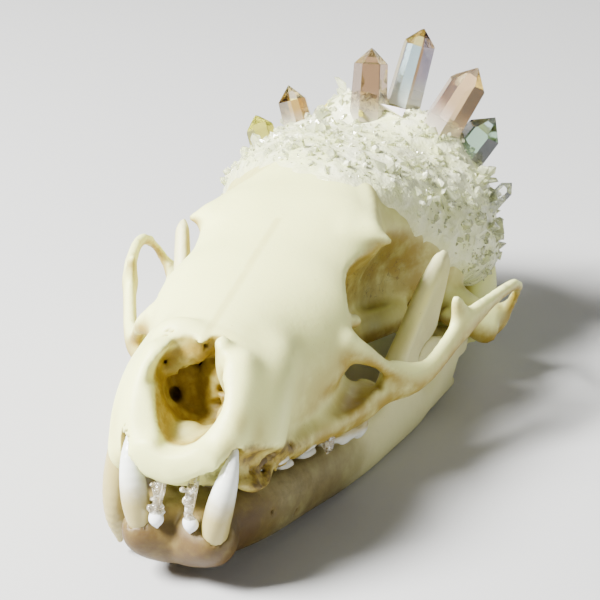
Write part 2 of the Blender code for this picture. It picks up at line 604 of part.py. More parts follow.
def crust_depth(point, out):
    """How deep the crust lies over a place on the braincase."""
    depth = CRUST_THICKNESS
    covered = True
    while covered:
        place = point + out * depth
        covered = any(sum(((place[i] - centre[i]) / radii[i]) ** 2 for i in range(3)) < 1
                      for centre, radii in CRUST_MOUNDS)
        depth += 0.3
    return depth - 0.3


def crust_room():
    """The space behind the slanting front line and above the lower edge, as one solid."""
    mesh = bmesh.new()
    bmesh.ops.create_cube(mesh, size=ROOM_SIZE * MM, matrix=Matrix.Translation(ROOM_MIDDLE * MM))
    corner = Vector((0, CRUST_FRONT_Y, CRUST_FRONT_Z))
    edges = [(corner, (0, 1, CRUST_SLOPE)), (corner, (CRUST_SIDE_SLOPE, 1, CRUST_SLOPE)),
             (Vector((0, CRUST_FRONT_Y, CRUST_LOW_Z)), (0, 0, 1))]
    for place, inward in edges:
        everything = mesh.verts[:] + mesh.edges[:] + mesh.faces[:]
        bmesh.ops.bisect_plane(mesh, geom=everything, plane_co=place * MM, plane_no=inward, clear_inner=True)
        rim = [edge for edge in mesh.edges if edge.is_boundary]
        bmesh.ops.holes_fill(mesh, edges=rim, sides=0)
    return finish("crust_room", mesh, cutter=True)


def crust_bed():
    """The bone under the crust, a little fatter than it is."""
    mesh = bmesh.new()
    add_loft(mesh, [row for row in SECTIONS if row[0] > BED_START], sides=24, per_span=1, fatter=BED_GAP)
    add_limb(mesh, MID_CREST, OUT, sides=8, per_span=1, fatter=BED_GAP)
    add_both(mesh, NECK_CREST, NECK_WAY, sides=8, per_span=1, fatter=BED_GAP)
    add_both(mesh, TEMPLE_LINE, OUT, sides=8, per_span=1, fatter=BED_GAP)
    add_both(mesh, ARCH_BEHIND, BACK, sides=8, per_span=1, fatter=BED_GAP)
    for side in (1, -1):
        add_egg(mesh, *MASTOID, side=side, fatter=BED_GAP)
    bed = finish("crust_bed", mesh, cutter=True)
    melt(bed, BED_GRAIN)
    thin_out(bed, BED_KEPT)
    return bed


def make_slivers(clear):
    """The clear pieces in the mouth: two slivers where front teeth were, and one in the tooth row."""
    for name, limb in SLIVERS:
        mesh = bmesh.new()
        add_sliver(mesh, limb)
        finish(name, mesh, clear)
    mesh = bmesh.new()
    add_crystal(mesh, *ROW_CRYSTAL)
    finish("tooth_row_crystal", mesh, clear)


def make_points(clear):
    """The row of single crystals that stands in the crust like a crown."""
    for number, crystal in enumerate(QUARTZ_POINTS, 1):
        mesh = bmesh.new()
        add_crystal(mesh, *crystal)
        finish(f"quartz_point_{number}", mesh, clear)


def stand_up():
    """Tip everything onto the lower jaw's resting places and centre it over the origin."""
    stand = bpy.data.objects.new("stand", None)
    bpy.context.scene.collection.objects.link(stand)
    for thing in bpy.data.objects:
        if thing != stand:
            thing.parent = stand
    pitch = math.radians(-PITCH)
    y, z = FRONT_REST[0], FRONT_REST[1] + REST_FLAT
    stand.rotation_euler.x = pitch
    stand.location = (0, -MIDDLE_Y * MM, -(math.sin(pitch) * y + math.cos(pitch) * z) * MM)


def main():
    for thing in list(bpy.data.objects):
        bpy.data.objects.remove(thing)
    bone = material("bone", (0.80, 0.76, 0.58), 0.55)
    jaw_bone = material("jaw_bone", (0.66, 0.56, 0.36), 0.6)
    enamel = material("enamel", (0.86, 0.87, 0.82), 0.3)
    quartz = material("quartz", (0.86, 0.88, 0.80), 0.15)
    clear = material("clear_quartz", (0.92, 0.92, 0.90), 0.05, transmission=0.9)
    make_cranium(bone)
    make_mandible(jaw_bone)
    make_teeth(enamel)
    make_slivers(clear)
    make_crust(quartz)
    make_points(clear)
    stand_up()


if __name__ == "__main__":
    main()
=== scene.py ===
"""Pine marten skull crowned with quartz: the look of the part, built around its fixed frame.

Every form is written in the skull's own frame, in millimetres: x to the skull's left, y from the
tip of the snout to the back, z up from the roots of the cheek teeth. The bones are modelled like
clay on a grid, which rounds every join, and then skinned with small quads.
"""
import math

import bmesh
import bpy
import numpy as np
from mathutils import Matrix, Vector


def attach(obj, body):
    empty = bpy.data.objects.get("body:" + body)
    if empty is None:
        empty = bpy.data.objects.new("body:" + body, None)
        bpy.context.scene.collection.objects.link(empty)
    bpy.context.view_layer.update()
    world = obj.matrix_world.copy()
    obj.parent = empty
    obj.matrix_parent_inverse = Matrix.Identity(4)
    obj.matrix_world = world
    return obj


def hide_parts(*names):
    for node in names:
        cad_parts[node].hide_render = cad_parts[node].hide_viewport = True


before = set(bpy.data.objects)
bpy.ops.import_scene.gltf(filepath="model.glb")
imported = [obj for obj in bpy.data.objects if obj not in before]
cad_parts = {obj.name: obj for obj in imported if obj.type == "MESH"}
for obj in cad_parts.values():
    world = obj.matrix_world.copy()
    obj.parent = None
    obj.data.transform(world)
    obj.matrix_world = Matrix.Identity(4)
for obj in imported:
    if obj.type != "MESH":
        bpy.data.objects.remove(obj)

bl_info = {
    "name": "Pine marten skull with quartz",
    "version": (1, 0, 0),
    "blender": (4, 5, 0),
    "location": "3D View > Sidebar > Skull",
    "description": "Builds the bones, teeth and crystals of a crystal-crowned marten skull",
    "category": "Add Mesh",
}

MM = 0.001

# How the skull stands: tipped back onto the lower jaw and centred over the origin
PITCH = math.radians(-6.4)
MIDDLE_Y = 41.75
LIFT = 10.7745

# The photographer's place, in the skull's frame
AZIMUTH = math.radians(15.522)
ELEVATION = math.radians(16.525)
ROLL = math.radians(2.878)
AIM = (0, 40, 5)
STAND_OFF = (1.271, 4.071, 220)
LENS = 110.41

OUT = (1, 0, 0)
BACK = (0, 1, 0)
CHEEK = (0.8, -0.5, 0)
ARCH_FRONT = (0.92, -0.4, 0)
JAW_SIDE = (0.94, -0.33, 0)

# The skull from snout to neck: y, half width, top, bottom, height of the widest line, roundness
# above it and roundness below it (2 is an ellipse, more is squarer)
SECTIONS = [
    (0.6, 3.8, 4.6, 1.2, 2.8, 2.2, 2.2),
    (2.0, 5.2, 8.2, 0.8, 3.4, 2.2, 2.4),
    (4.0, 6.4, 11.2, 0.6, 4.0, 2.2, 2.6),
    (6.0, 7.3, 13.0, 0.5, 4.6, 2.2, 2.8),
    (9.0, 8.0, 14.1, 0.4, 5.2, 2.2, 3.0),
    (13.0, 8.4, 15.2, 0.3, 5.8, 2.2, 3.0),
    (17.0, 9.2, 16.3, 0.2, 6.6, 2.2, 3.0),
    (21.0, 10.8, 17.4, 0.2, 8.0, 2.2, 3.0),
    (25.0, 11.6, 18.6, 0.4, 10.0, 2.2, 2.6),
    (30.0, 11.2, 19.9, 1.0, 11.5, 2.2, 2.4),
    (35.0, 10.9, 21.4, 2.0, 13.4, 2.6, 2.0),
    (39.0, 11.0, 22.4, 2.6, 15.0, 3.0, 2.0),
    (43.0, 10.4, 23.1, 3.0, 15.0, 2.8, 2.0),
    (47.0, 10.4, 23.8, 3.2, 13.8, 2.5, 2.2),
    (52.0, 12.2, 24.4, 3.4, 12.8, 2.3, 2.3),
    (58.0, 14.8, 24.9, 3.4, 12.2, 2.15, 2.4),
    (64.0, 17.0, 25.0, 3.4, 11.8, 2.1, 2.5),
    (70.0, 17.4, 24.4, 3.4, 11.2, 2.1, 2.5),
    (75.0, 16.4, 23.0, 3.4, 10.6, 2.1, 2.4),
    (79.0, 13.6, 20.6, 3.6, 10.4, 2.1, 2.2),
    (82.0, 9.6, 16.6, 4.2, 10.0, 2.0, 2.0),
    (83.6, 5.0, 13.0, 6.0, 9.8, 2.0, 2.0),
]

# Canines from root to tip: points, half widths across and along the jaw
UPPER_CANINE = (
    [(-7.3, 8.0, 4.6), (-7.6, 6.2, 1.6), (-7.75, 4.9, -2.0), (-7.75, 4.6, -5.4), (-7.6, 5.4, -8.6)],
    [1.2, 1.6, 1.6, 1.2, 0.35], [1.5, 2.1, 2.0, 1.4, 0.4])
LOWER_CANINE = (
    [(4.1, 2.6, -6.2), (4.3, 0.9, -4.2), (4.9, 0.3, -1.2), (5.5, 0.8, 2.0), (5.8, 1.9, 4.6)],
    [1.1, 1.35, 1.4, 1.05, 0.35], [1.3, 1.6, 1.6, 1.15, 0.4])
LOWER_CANINE_RIGHT = (
    [(-3.4, 2.6, -6.2), (-3.6, 0.9, -4.0), (-4.2, 0.3, -1.0), (-4.9, 0.8, 2.4), (-5.3, 1.9, 5.2)],
    *LOWER_CANINE[1:])
# Name, form and how white the crown is
CANINES = [("upper_canine_right", UPPER_CANINE, 0.15), ("lower_canine_left", LOWER_CANINE, 1),
           ("lower_canine_right", LOWER_CANINE_RIGHT, 1)]
CHEEK_TOOTH_WHITENESS = 0.7

# The jaw's joint head, from its inner end outwards
CONDYLE = [(13.6, 59.6, 0.9), (15.4, 59.4, 1.1), (16.8, 59.2, 1.6)]

# Cheek teeth: name, place of the crown's middle, turn of the row in degrees from y, half width
# across and along the row, heights of the root and of the tip, and the cusps as place along the
# row, place across it and height as shares of the tooth
UPPER_TEETH = [
    ("upper_premolar_front", (7.9, 11.2), 10, 0.8, 1.4, 2.7, 0.0, [(0.0, 0, 1), (0.65, 0, 0.45)]),
    ("upper_premolar_back", (9.1, 16.6), 16, 0.85, 1.7, 2.4, -0.3, [(-0.1, 0, 1), (0.65, 0, 0.5)]),
    ("upper_carnassial", (12.0, 24.6), 22, 0.9, 3.0, 2.0, -1.3,
     [(-0.25, 0, 1), (0.55, 0, 0.72), (-0.8, 0, 0.4)]),
    ("upper_molar", (10.7, 30.6), -62, 1.6, 2.8, 2.2, -0.7,
     [(-0.6, 0.1, 1), (0.1, -0.3, 0.6), (0.6, 0.2, 0.8)]),
]
LOWER_TEETH = [
    ("lower_premolar_front", (5.7, 11.8), 20, 0.8, 1.4, -4.2, -0.75, [(-0.1, 0, 1), (0.6, 0, 0.4)]),
    ("lower_premolar_middle", (6.9, 15.6), 18, 0.85, 1.6, -4.2, -0.7, [(-0.1, 0, 1), (0.65, 0, 0.45)]),
    ("lower_premolar_back", (8.1, 19.8), 17, 0.85, 1.9, -4.2, -0.7, [(-0.15, 0, 1), (0.6, 0, 0.6)]),
    ("lower_carnassial", (9.7, 25.4), 16, 1.0, 3.0, -4.2, -0.5,
     [(0.0, 0, 1), (-0.65, 0, 0.8), (0.75, 0, 0.35)]),
]

# Spacing of the modelling grid of the cheek teeth and of the slivers
TOOTH_GRAIN, SLIVER_GRAIN = 0.14, 0.13

# Which way a crystal's face looks in the photo
LEFT, FRONT, RIGHT, POINT = range(4)

# A face is one of the point beyond this share of the crystal's length from its middle, and one of
# the left or right beyond this share of the way to the picture's edge
POINT_FROM, SIDE_FROM = 0.3, 0.45

# Quartz crystals in the crown: root, tip, half width, turn on the axis, and the tints of the faces
# that look LEFT, FRONT, RIGHT and of those of the POINT. Each is partly the quartz's own smoky, amber
# and green colour and partly painted reflection and refraction, set by which way the face looks.
QUARTZ_POINTS = [
    ((-12.6, 69.0, 20.4), (-14.6, 69.6, 25.2), 2.1, 10,
     ((0.64, 0.62, 0.10), (0.70, 0.66, 0.13), (0.46, 0.42, 0.05), (0.78, 0.74, 0.20))),
    ((-8.4, 69.6, 24.0), (-10.4, 70.0, 29.6), 2.3, 25,
     ((0.05, 0.035, 0.02), (0.70, 0.60, 0.42), (0.58, 0.28, 0.02), (0.84, 0.62, 0.28))),
    ((1.1, 68.6, 26.0), (0.8, 69.8, 35.6), 2.5, 0,
     ((0.62, 0.50, 0.44), (0.36, 0.22, 0.12), (0.62, 0.55, 0.60), (0.86, 0.58, 0.24))),
    ((4.9, 72.4, 28.0), (7.0, 72.6, 38.3), 2.6, 15,
     ((0.80, 0.50, 0.08), (0.45, 0.60, 0.64), (0.14, 0.09, 0.14), (0.70, 0.92, 0.97))),
    ((10.6, 69.0, 25.6), (15.0, 69.8, 34.3), 2.9, 5,
     ((0.84, 0.66, 0.60), (0.26, 0.15, 0.11), (0.78, 0.46, 0.12), (0.66, 0.82, 0.95))),
    ((13.0, 70.4, 21.0), (17.6, 70.8, 27.9), 2.7, 20,
     ((0.34, 0.28, 0.38), (0.38, 0.55, 0.42), (0.34, 0.31, 0.42), (0.55, 0.62, 0.70))),
    ((17.2, 68.6, 15.6), (20.6, 69.5, 19.8), 1.3, 0,
     ((0.90, 0.94, 0.90), (0.94, 0.96, 0.92), (0.80, 0.86, 0.88), (0.96, 0.97, 0.96))),
]

# Outline of the nose opening, seen from the front: x and z
NOSE_OUTLINE = [(-1.9, 13.9), (-1.1, 13.5), (0.0, 13.1), (0.8, 13.7), (1.7, 13.9), (2.5, 13.5), (2.9, 12.7),
                (3.1, 11.6), (3.3, 10.8), (3.7, 10.2), (3.95, 9.4), (3.9, 8.4), (3.5, 7.3), (2.7, 6.1),
                (1.7, 5.1), (0.5, 4.5), (-0.6, 4.4), (-1.4, 4.6), (-2.1, 5.7), (-2.7, 6.8), (-3.1, 7.9),
                (-3.7, 9.2), (-4.4, 10.0), (-4.4, 11.1), (-3.9, 12.0), (-3.0, 13.2), (-2.4, 13.7)]

# The clear crystal in the left tooth row: root, tip, half width and turn on the axis
ROW_CRYSTAL = ((10.6, 20.4, 1.8), (10.6, 19.8, -1.5), 0.8, 0)

# The slivers where the incisors were: name, and place across the jaw of the stem and of the foot
SLIVERS = [("incisor_left", 1.9, 2.2), ("incisor_right", -1.5, -1.5)]
SLIVER_BEADS = 9

# Where the crust lies: behind a slanting line (y and z of a point on it, its slope, and its drift
# towards the skull's right), before an end, and above a lower edge that drops at the back
CRUST_FRONT = (42.8, 23.2, 1.15, 0.7)
CRUST_END = 79.0
CRUST_LOW, CRUST_DROP = 6.4, 2.2

# Thickness of the film that the crust starts from
FILM = 0.95

# Mounds that the crust swells into: middle and radii
CRUST_MOUNDS = [
    ((15.6, 71.0, 9.6), (4.4, 5.6, 6.4)),
    ((6.4, 69.5, 19.4), (10.4, 7.6, 9.2)),
    ((-4.6, 69.0, 17.4), (9.6, 7.4, 8.8)),
    ((-1.0, 71.5, 20.0), (7.6, 6.0, 10.2)),
    ((13.0, 68.5, 14.6), (6.2, 6.8, 8.0)),
]

# What the crust is made of, in the order of its materials
BED, CLEAR, YELLOW, DARK, MILK, PINK = range(6)

# Single stones in the crust: middle, half length, which way it lies, flatness and kind
CRUST_STONES = [
    ((4.6, 68.6, 28.2), 2.5, (1, 0, -0.35), 0.5, PINK),
    ((0.6, 66.6, 27.4), 0.75, (0, 1, 0), 0.8, YELLOW),
    ((-4.4, 62.0, 25.9), 0.8, (1, 0, 0), 0.8, YELLOW),
    ((18.4, 69.2, 17.6), 1.7, (1, 0, 0.4), 0.8, CLEAR),
    ((17.0, 69.6, 20.4), 1.5, (0.8, 0, 0.6), 0.8, CLEAR),
    ((18.6, 68.4, 13.8), 1.6, (1, 0, -0.1), 0.8, CLEAR),
    ((-4.2, 73.4, 29.2), 1.6, (-0.4, 0, 1), 0.8, CLEAR),
    ((-1.8, 74.2, 30.6), 1.5, (0, 0, 1), 0.8, CLEAR),
    ((-13.6, 66.0, 19.4), 1.2, (-1, 0, 0.3), 0.8, CLEAR),
]

# The strewn chips: their shapes, middling and largest half length, half length of the dark specks,
# and below which draw from 0 to 1 a chip is yellow or milky
CHIP_SHAPES = 36
CHIP_SIZE, LARGEST_CHIP, SPECK_SIZE = 0.34, 1.7, 0.15
YELLOW_BELOW, MILK_BELOW = 0.006, 0.12

# Where many chips are dark specks: middle, radii and share
SPECK_PATCHES = [
    ((12.4, 57.5, 17.0), (1.4, 2.6, 4.0), 0.4),
    ((12.8, 60.0, 12.5), (1.4, 1.6, 2.4), 0.4),
    ((-1.0, 60.5, 25.5), (4.0, 1.0, 1.4), 0.35),
    ((4.0, 65.0, 26.5), (2.0, 1.0, 1.4), 0.3),
]

# Pits in the worn bone over the left canine's socket, and in the walls inside the nose
EDGE_PITS, NOSE_PITS = 70, 46

# Seeds of the random draws; each crystal of the crown adds its number to the last
EDGE_SEED, NOSE_SEED, SLIVER_SEED, ROW_SEED, POINT_SEED = 9, 5, 11, 3, 20

# Marks on the bones: middle, radii and strength of each. Some of them paint light and shade, as told at each.
# Painted light: places on the walls and scrolls inside the nose that catch the light, kept pale against the
# painted shade there
NOSE_LIT_SCROLLS = [
    ((2.5, 7.0, 11.2), (1.0, 1.6, 2.4), 1.0),
    ((-2.8, 8.8, 10.2), (1.8, 0.9, 0.9), 0.6),
    ((-0.3, 5.0, 4.6), (2.2, 2.0, 1.4), 0.9),
]
# Real stains, as round the left canine's worn socket, and painted shade: in the groove beside the nose's lip,
# low on the muzzle's sides, on the eye socket's floor, on the cheek and under the arch
CRANIUM_STAINS_AND_SHADE = [
    ((6.5, 38.0, 5.5), (4.0, 14.0, 3.4), 0.9),
    ((-6.5, 38.0, 5.5), (4.0, 14.0, 3.4), 0.9),
    ((9.0, 12.0, 5.0), (1.4, 3.0, 4.5), 0.35),
    ((-9.0, 12.0, 5.0), (1.4, 3.0, 4.5), 0.35),
    ((8.4, 6.6, 0.6), (2.6, 3.4, 2.0), 0.95),
    ((12.5, 24.0, 3.0), (3.5, 9.0, 3.0), 1.0),
    ((6.8, 1.8, 10.2), (0.8, 2.0, 1.3), 0.35),
    ((6.2, 1.6, 7.6), (0.9, 2.0, 1.7), 0.55),
    ((2.6, 2.4, -0.2), (2.4, 1.8, 0.9), 0.5),
    ((5.3, 1.4, 5.2), (1.0, 1.8, 1.4), 0.55),
    ((-7.4, 4.4, 5.0), (1.2, 2.4, 3.0), 0.3),
    ((7.7, 3.6, 5.6), (1.0, 1.8, 3.4), 0.5),
    ((-6.0, 3.0, 1.2), (1.6, 2.4, 1.6), 0.6),
    ((10.5, 18.0, 0.8), (2.5, 4.0, 1.6), 0.8),
    ((20.4, 39.0, 6.0), (2.0, 3.0, 1.4), 0.4),
]
CRANIUM_DIRT = [
    ((7.4, 6.6, 1.5), (1.6, 2.2, 2.6), 0.9),
    ((3.4, 2.6, 1.7), (1.6, 1.4, 0.7), 0.85),
]
JAW_SEATS = [((4.4, 0.6, -3.4), (2.0, 2.2, 1.3), 1.0), ((-4.2, 0.6, -3.4), (2.0, 2.2, 1.3), 1.0)]
JAW_STAINS = [((0, 3.4, -2.6), (4.0, 3.0, 1.6), 0.5)]

# Colours of the bones: light; deep, for random mottling and for painted shade; stain, for real stains and for
# painted shade; and dirt
CRANIUM_TONES = (0.87, 0.90, 0.35), (0.35, 0.26, 0.03), (0.33, 0.225, 0.018), (0.05, 0.025, 0.006)
JAW_TONES = (0.78, 0.76, 0.37), (0.24, 0.18, 0.045), (0.08, 0.042, 0.003), (0.07, 0.035, 0.012)

# Lamps: name, place in metres, size, and the setting that holds the power
LAMPS = [
    ("key", (-0.32, -0.22, 0.40), 0.2, "key_power"),
    ("fill", (0.5, -0.15, 0.25), 0.4, "fill_power"),
    ("rim", (0.12, 0.5, 0.34), 0.3, "fill_power"),
]
LAMPS_AIM = (0, 0, 0.015)


def to_world(points):
    """Places in the skull's frame, in millimetres, as places in the part's frame, in metres."""
    x, y, z = np.asarray(points, float).T
    c, s = math.cos(PITCH), math.sin(PITCH)
    return np.column_stack([x, y * c - z * s - MIDDLE_Y, y * s + z * c + LIFT]) * MM


def curve_through(values, per_span):
    """Rows of numbers on a smooth curve through the given rows."""
    rows = np.asarray(values, float)
    knots = np.arange(len(rows))
    slopes = np.gradient(rows, knots, axis=0)
    return eased(knots, rows, slopes, np.linspace(0, len(rows) - 1, (len(rows) - 1) * per_span + 1))


def eased(knots, rows, slopes, at):
    """Values between knots on cubic curves with the given slopes."""
    at = np.clip(np.asarray(at, float), knots[0], knots[-1])
    i = np.clip(np.searchsorted(knots, at, side="right") - 1, 0, len(knots) - 2)
    span = (knots[i + 1] - knots[i])
    t = ((at - knots[i]) / span)[..., None]
    span = span[..., None]
    start = (1 + 2 * t) * (1 - t) ** 2 * rows[i] + t * (1 - t) ** 2 * span * slopes[i]
    return start + t * t * (3 - 2 * t) * rows[i + 1] + t * t * (t - 1) * span * slopes[i + 1]


def smooth_least(a, b, blend):
    """The smaller of two distances, rounded where they are nearly equal."""
    near = np.maximum(blend - np.abs(a - b), 0.0) / blend
    return np.minimum(a, b) - near * near * blend * 0.25


def smooth_most(a, b, blend):
    """The larger of two distances, rounded where they are nearly equal."""
    return -smooth_least(-a, -b, blend)


def smooth_step(values, low, high):
    """0 below low and 1 above high, with an even slope between."""
    t = np.clip((np.asarray(values, float) - low) / (high - low), 0, 1)
    return t * t * (3 - 2 * t)


def cell_corners(part):
    """The eight corners of a grid cell, each with its share at places part of the way through the cell."""
    for corner in np.ndindex(2, 2, 2):
        yield corner, np.prod(np.where(corner, part, 1 - part), axis=1)


def lumps(points, size, seed):
    """Smooth random numbers from -1 to 1 that change over about the given size."""
    period = 32
    lattice = np.random.default_rng(seed).uniform(-1, 1, (period, period, period))
    at = np.asarray(points, float) / size
    low = np.floor(at).astype(int)
    part = at - low
    part = part * part * (3 - 2 * part)
    total = np.zeros(len(at))
    for corner, share in cell_corners(part):
        i, j, k = ((low + corner) % period).T
        total += share * lattice[i, j, k]
    return total


class Clay:
    """A block of grid points that holds the distance to a surface, negative inside it.

    A form is a distance function with the low and high corners of the box round what it adds.
    """
    # In millimetres: the distance in an empty block, and how far round a form the block is reworked
    FAR = 50.0
    MARGIN = 3

    def __init__(self, low, high, grain):
        self.low = np.array(low, float)
        self.grain = grain
        counts = [int(math.ceil((b - a) / grain)) + 1 for a, b in zip(low, high)]
        self.axes = [np.float32(a) + np.arange(n, dtype=np.float32) * np.float32(grain)
                     for a, n in zip(low, counts)]
        self.field = np.full(counts, self.FAR, np.float32)

    def part(self, form, blend):
        """The grid points near a form, as slices and as coordinates."""
        _, low, high = form
        window = []
        for axis, a, b in zip(self.axes, low, high):
            start = int(np.searchsorted(axis, a - self.MARGIN - blend))
            end = int(np.searchsorted(axis, b + self.MARGIN + blend))
            window.append(slice(max(start - 1, 0), min(end + 1, len(axis))))
        x, y, z = (axis[piece] for axis, piece in zip(self.axes, window))
        return tuple(window), (x[:, None, None], y[None, :, None], z[None, None, :])

    def lay(self, form, blend=1.0):
        """Add a form to the clay."""
        window, grid = self.part(form, blend)
        if self.field[window].size:
            self.field[window] = smooth_least(self.field[window], form[0](*grid), blend)

    def cut(self, form, blend=1.0):
        """Take a form out of the clay."""
        window, grid = self.part(form, blend)
        if self.field[window].size:
            self.field[window] = smooth_most(self.field[window], -form[0](*grid), blend)

    def mirror(self):
        """Copy the half with x above 0 to the other side."""
        self.field = np.concatenate([self.field[:0:-1], self.field], axis=0)
        self.axes[0] = np.concatenate([-self.axes[0][:0:-1], self.axes[0]])
        self.low[0] = self.axes[0][0]

    def read(self, points):
        """The field's value at any points."""
        at = (points - self.low) / self.grain
        limit = np.array(self.field.shape) - 1.001
        at = np.clip(at, 0, limit)
        low = at.astype(int)
        part = at - low
        total = np.zeros(len(at))
        for corner, share in cell_corners(part):
            i, j, k = (low + corner).T
            total += share * self.field[i, j, k]
        return total

    def skin(self, rounds=3):
        """The clay's surface as points and quads, with the grid's steps relaxed."""
        inside = self.field < 0
        nx, ny, nz = self.field.shape
        count = np.zeros((nx - 1, ny - 1, nz - 1), np.int8)
        corners = list(np.ndindex(2, 2, 2))
        for i, j, k in corners:
            count += inside[i:nx - 1 + i, j:ny - 1 + j, k:nz - 1 + k]
        cells = np.argwhere((count > 0) & (count < 8))
        number = np.full(count.shape, -1, np.int64)
        number[tuple(cells.T)] = np.arange(len(cells))
        total = np.zeros((len(cells), 3))
        crossings = np.zeros(len(cells))
        for a in corners:
            for b in corners:
                if sum(b) != sum(a) + 1 or sum(p != q for p, q in zip(a, b)) != 1:
                    continue
                here = self.field[tuple((cells + a).T)].astype(float)
                there = self.field[tuple((cells + b).T)].astype(float)
                crossed = (here < 0) != (there < 0)
                share = np.where(crossed, here / np.where(crossed, here - there, 1), 0)
                total += crossed[:, None] * (np.array(a) + share[:, None] * (np.array(b) - np.array(a)))
                crossings += crossed
        points = (cells + total / crossings[:, None]) * self.grain + self.low
        quads = np.concatenate([self.quads_across(inside, number, axis) for axis in range(3)])
        quads = quads[(quads >= 0).all(1)]
        return relaxed(points, quads, rounds), quads

    def quads_across(self, inside, number, axis):
        """One quad for each grid edge along an axis that the surface crosses."""
        first, second = [a for a in range(3) if a != axis]
        before = [slice(None)] * 3
        after = [slice(None)] * 3
        before[axis] = slice(0, -1)
        after[axis] = slice(1, None)
        starts, ends = inside[tuple(before)], inside[tuple(after)]
        edges = np.argwhere(starts != ends)
        shape = inside.shape
        edges = edges[(edges[:, first] > 0) & (edges[:, second] > 0)
                      & (edges[:, first] < shape[first] - 1) & (edges[:, second] < shape[second] - 1)]
        ring = []
        for back_one, back_two in ((1, 1), (0, 1), (0, 0), (1, 0)):
            cell = edges.copy()
            cell[:, first] -= back_one
            cell[:, second] -= back_two
            ring.append(number[tuple(cell.T)])
        ring = np.stack(ring, 1)
        forward = starts[tuple(edges.T)]
        if axis == 1:
            forward = ~forward
        return np.where(forward[:, None], ring, ring[:, ::-1])


def relaxed(points, quads, rounds):
    """Points moved towards and away from their neighbours' middle, which smooths without shrinking."""
    edges = np.concatenate([quads[:, [0, 1]], quads[:, [1, 2]], quads[:, [2, 3]], quads[:, [3, 0]]])
    edges = np.unique(np.sort(edges, 1), axis=0)
    degree = np.bincount(edges.ravel(), minlength=len(points))[:, None]
    for _ in range(rounds):
        for step in (0.5, -0.53):
            total = np.zeros_like(points)
            for i in range(3):
                total[:, i] = (np.bincount(edges[:, 0], points[edges[:, 1], i], len(points))
                               + np.bincount(edges[:, 1], points[edges[:, 0], i], len(points)))
            points = points + step * (total / degree - points)
    return points


def turned(rx, ry, rz):
    """A rotation by three angles in degrees."""
    a, b, c = np.radians([rx, ry, rz])
    about_x = np.array([[1, 0, 0], [0, np.cos(a), -np.sin(a)], [0, np.sin(a), np.cos(a)]])
    about_y = np.array([[np.cos(b), 0, np.sin(b)], [0, 1, 0], [-np.sin(b), 0, np.cos(b)]])
    about_z = np.array([[np.cos(c), -np.sin(c), 0], [np.sin(c), np.cos(c), 0], [0, 0, 1]])
    return about_z @ about_y @ about_x


def egg(centre, radii, rotation=(0, 0, 0)):
    """An egg-shaped form."""
    c = np.array(centre, np.float32)
    r = np.array(radii, np.float32)
    spin = turned(*rotation).astype(np.float32)
    reach = float(max(radii))

    def distance(x, y, z):
        p = (x - c[0], y - c[1], z - c[2])
        q = [spin[0, i] * p[0] + spin[1, i] * p[1] + spin[2, i] * p[2] for i in range(3)]
        k = np.sqrt((q[0] / r[0]) ** 2 + (q[1] / r[1]) ** 2 + (q[2] / r[2]) ** 2)
        g = np.sqrt((q[0] / r[0] ** 2) ** 2 + (q[1] / r[1] ** 2) ** 2 + (q[2] / r[2] ** 2) ** 2)
        return k * (k - 1) / np.maximum(g, 1e-4)

    return distance, c - reach, c + reach


def limb(points, thick, tall=None, face=OUT, per_span=4):
    """A tapering limb along a smooth curve: thick is its half width along face, tall across it."""
    places = np.asarray(points, float)
    count = len(places)
    thick = np.broadcast_to(np.asarray(thick, float), count)
    tall = thick if tall is None else np.broadcast_to(np.asarray(tall, float), count)
    faces = np.asarray(face, float)
    faces = np.broadcast_to(faces, (count, 3)) if faces.ndim == 1 else faces
    rows = curve_through(np.column_stack([places, thick, tall, faces]), per_span).astype(np.float32)
    reach = float(max(thick.max(), tall.max()))

    def distance(x, y, z):
        best = None
        for start, end in zip(rows[:-1], rows[1:]):
            way = end[:3] - start[:3]
            length = float(way @ way) + 1e-9
            t = ((x - start[0]) * way[0] + (y - start[1]) * way[1] + (z - start[2]) * way[2]) / length
            t = np.clip(t, 0, 1)
            px, py, pz = x - start[0] - t * way[0], y - start[1] - t * way[1], z - start[2] - t * way[2]
            half = start[3] + t * (end[3] - start[3])
            high = start[4] + t * (end[4] - start[4])
            facing = start[5:] + end[5:]
            facing = facing / np.linalg.norm(facing)
            along = px * facing[0] + py * facing[1] + pz * facing[2]
            square = px * px + py * py + pz * pz
            q = np.sqrt((along / half) ** 2 + np.maximum(square - along * along, 0) / (high * high) + 1e-8)
            r = np.sqrt(square + 1e-8)
            value = r - r / q
            best = value if best is None else np.minimum(best, value)
        return best.astype(np.float32)

    return distance, rows[:, :3].min(0) - reach, rows[:, :3].max(0) + reach


def prism(outline, start, end):
    """A form with the same outline all along y, from start to end."""
    ring = np.asarray(outline, np.float32)

    def distance(x, y, z):
        x, z = np.broadcast_arrays(x, z)
        nearest = np.full(x.shape, 1e9, np.float32)
        inside = np.zeros(x.shape, bool)
        for (ax, az), (bx, bz) in zip(ring, np.roll(ring, -1, axis=0)):
            wx, wz = bx - ax, bz - az
            t = np.clip(((x - ax) * wx + (z - az) * wz) / (wx * wx + wz * wz), 0, 1)
            nearest = np.minimum(nearest, (x - ax - t * wx) ** 2 + (z - az - t * wz) ** 2)
            if az != bz:
                inside ^= ((az > z) != (bz > z)) & (x < ax + (z - az) * wx / wz)
        flat = np.where(inside, -np.sqrt(nearest), np.sqrt(nearest))
        return np.maximum(flat, np.maximum(start - y, y - end)).astype(np.float32)

    low, high = ring.min(0), ring.max(0)
    return distance, (low[0], start, low[1]), (high[0], end, high[1])


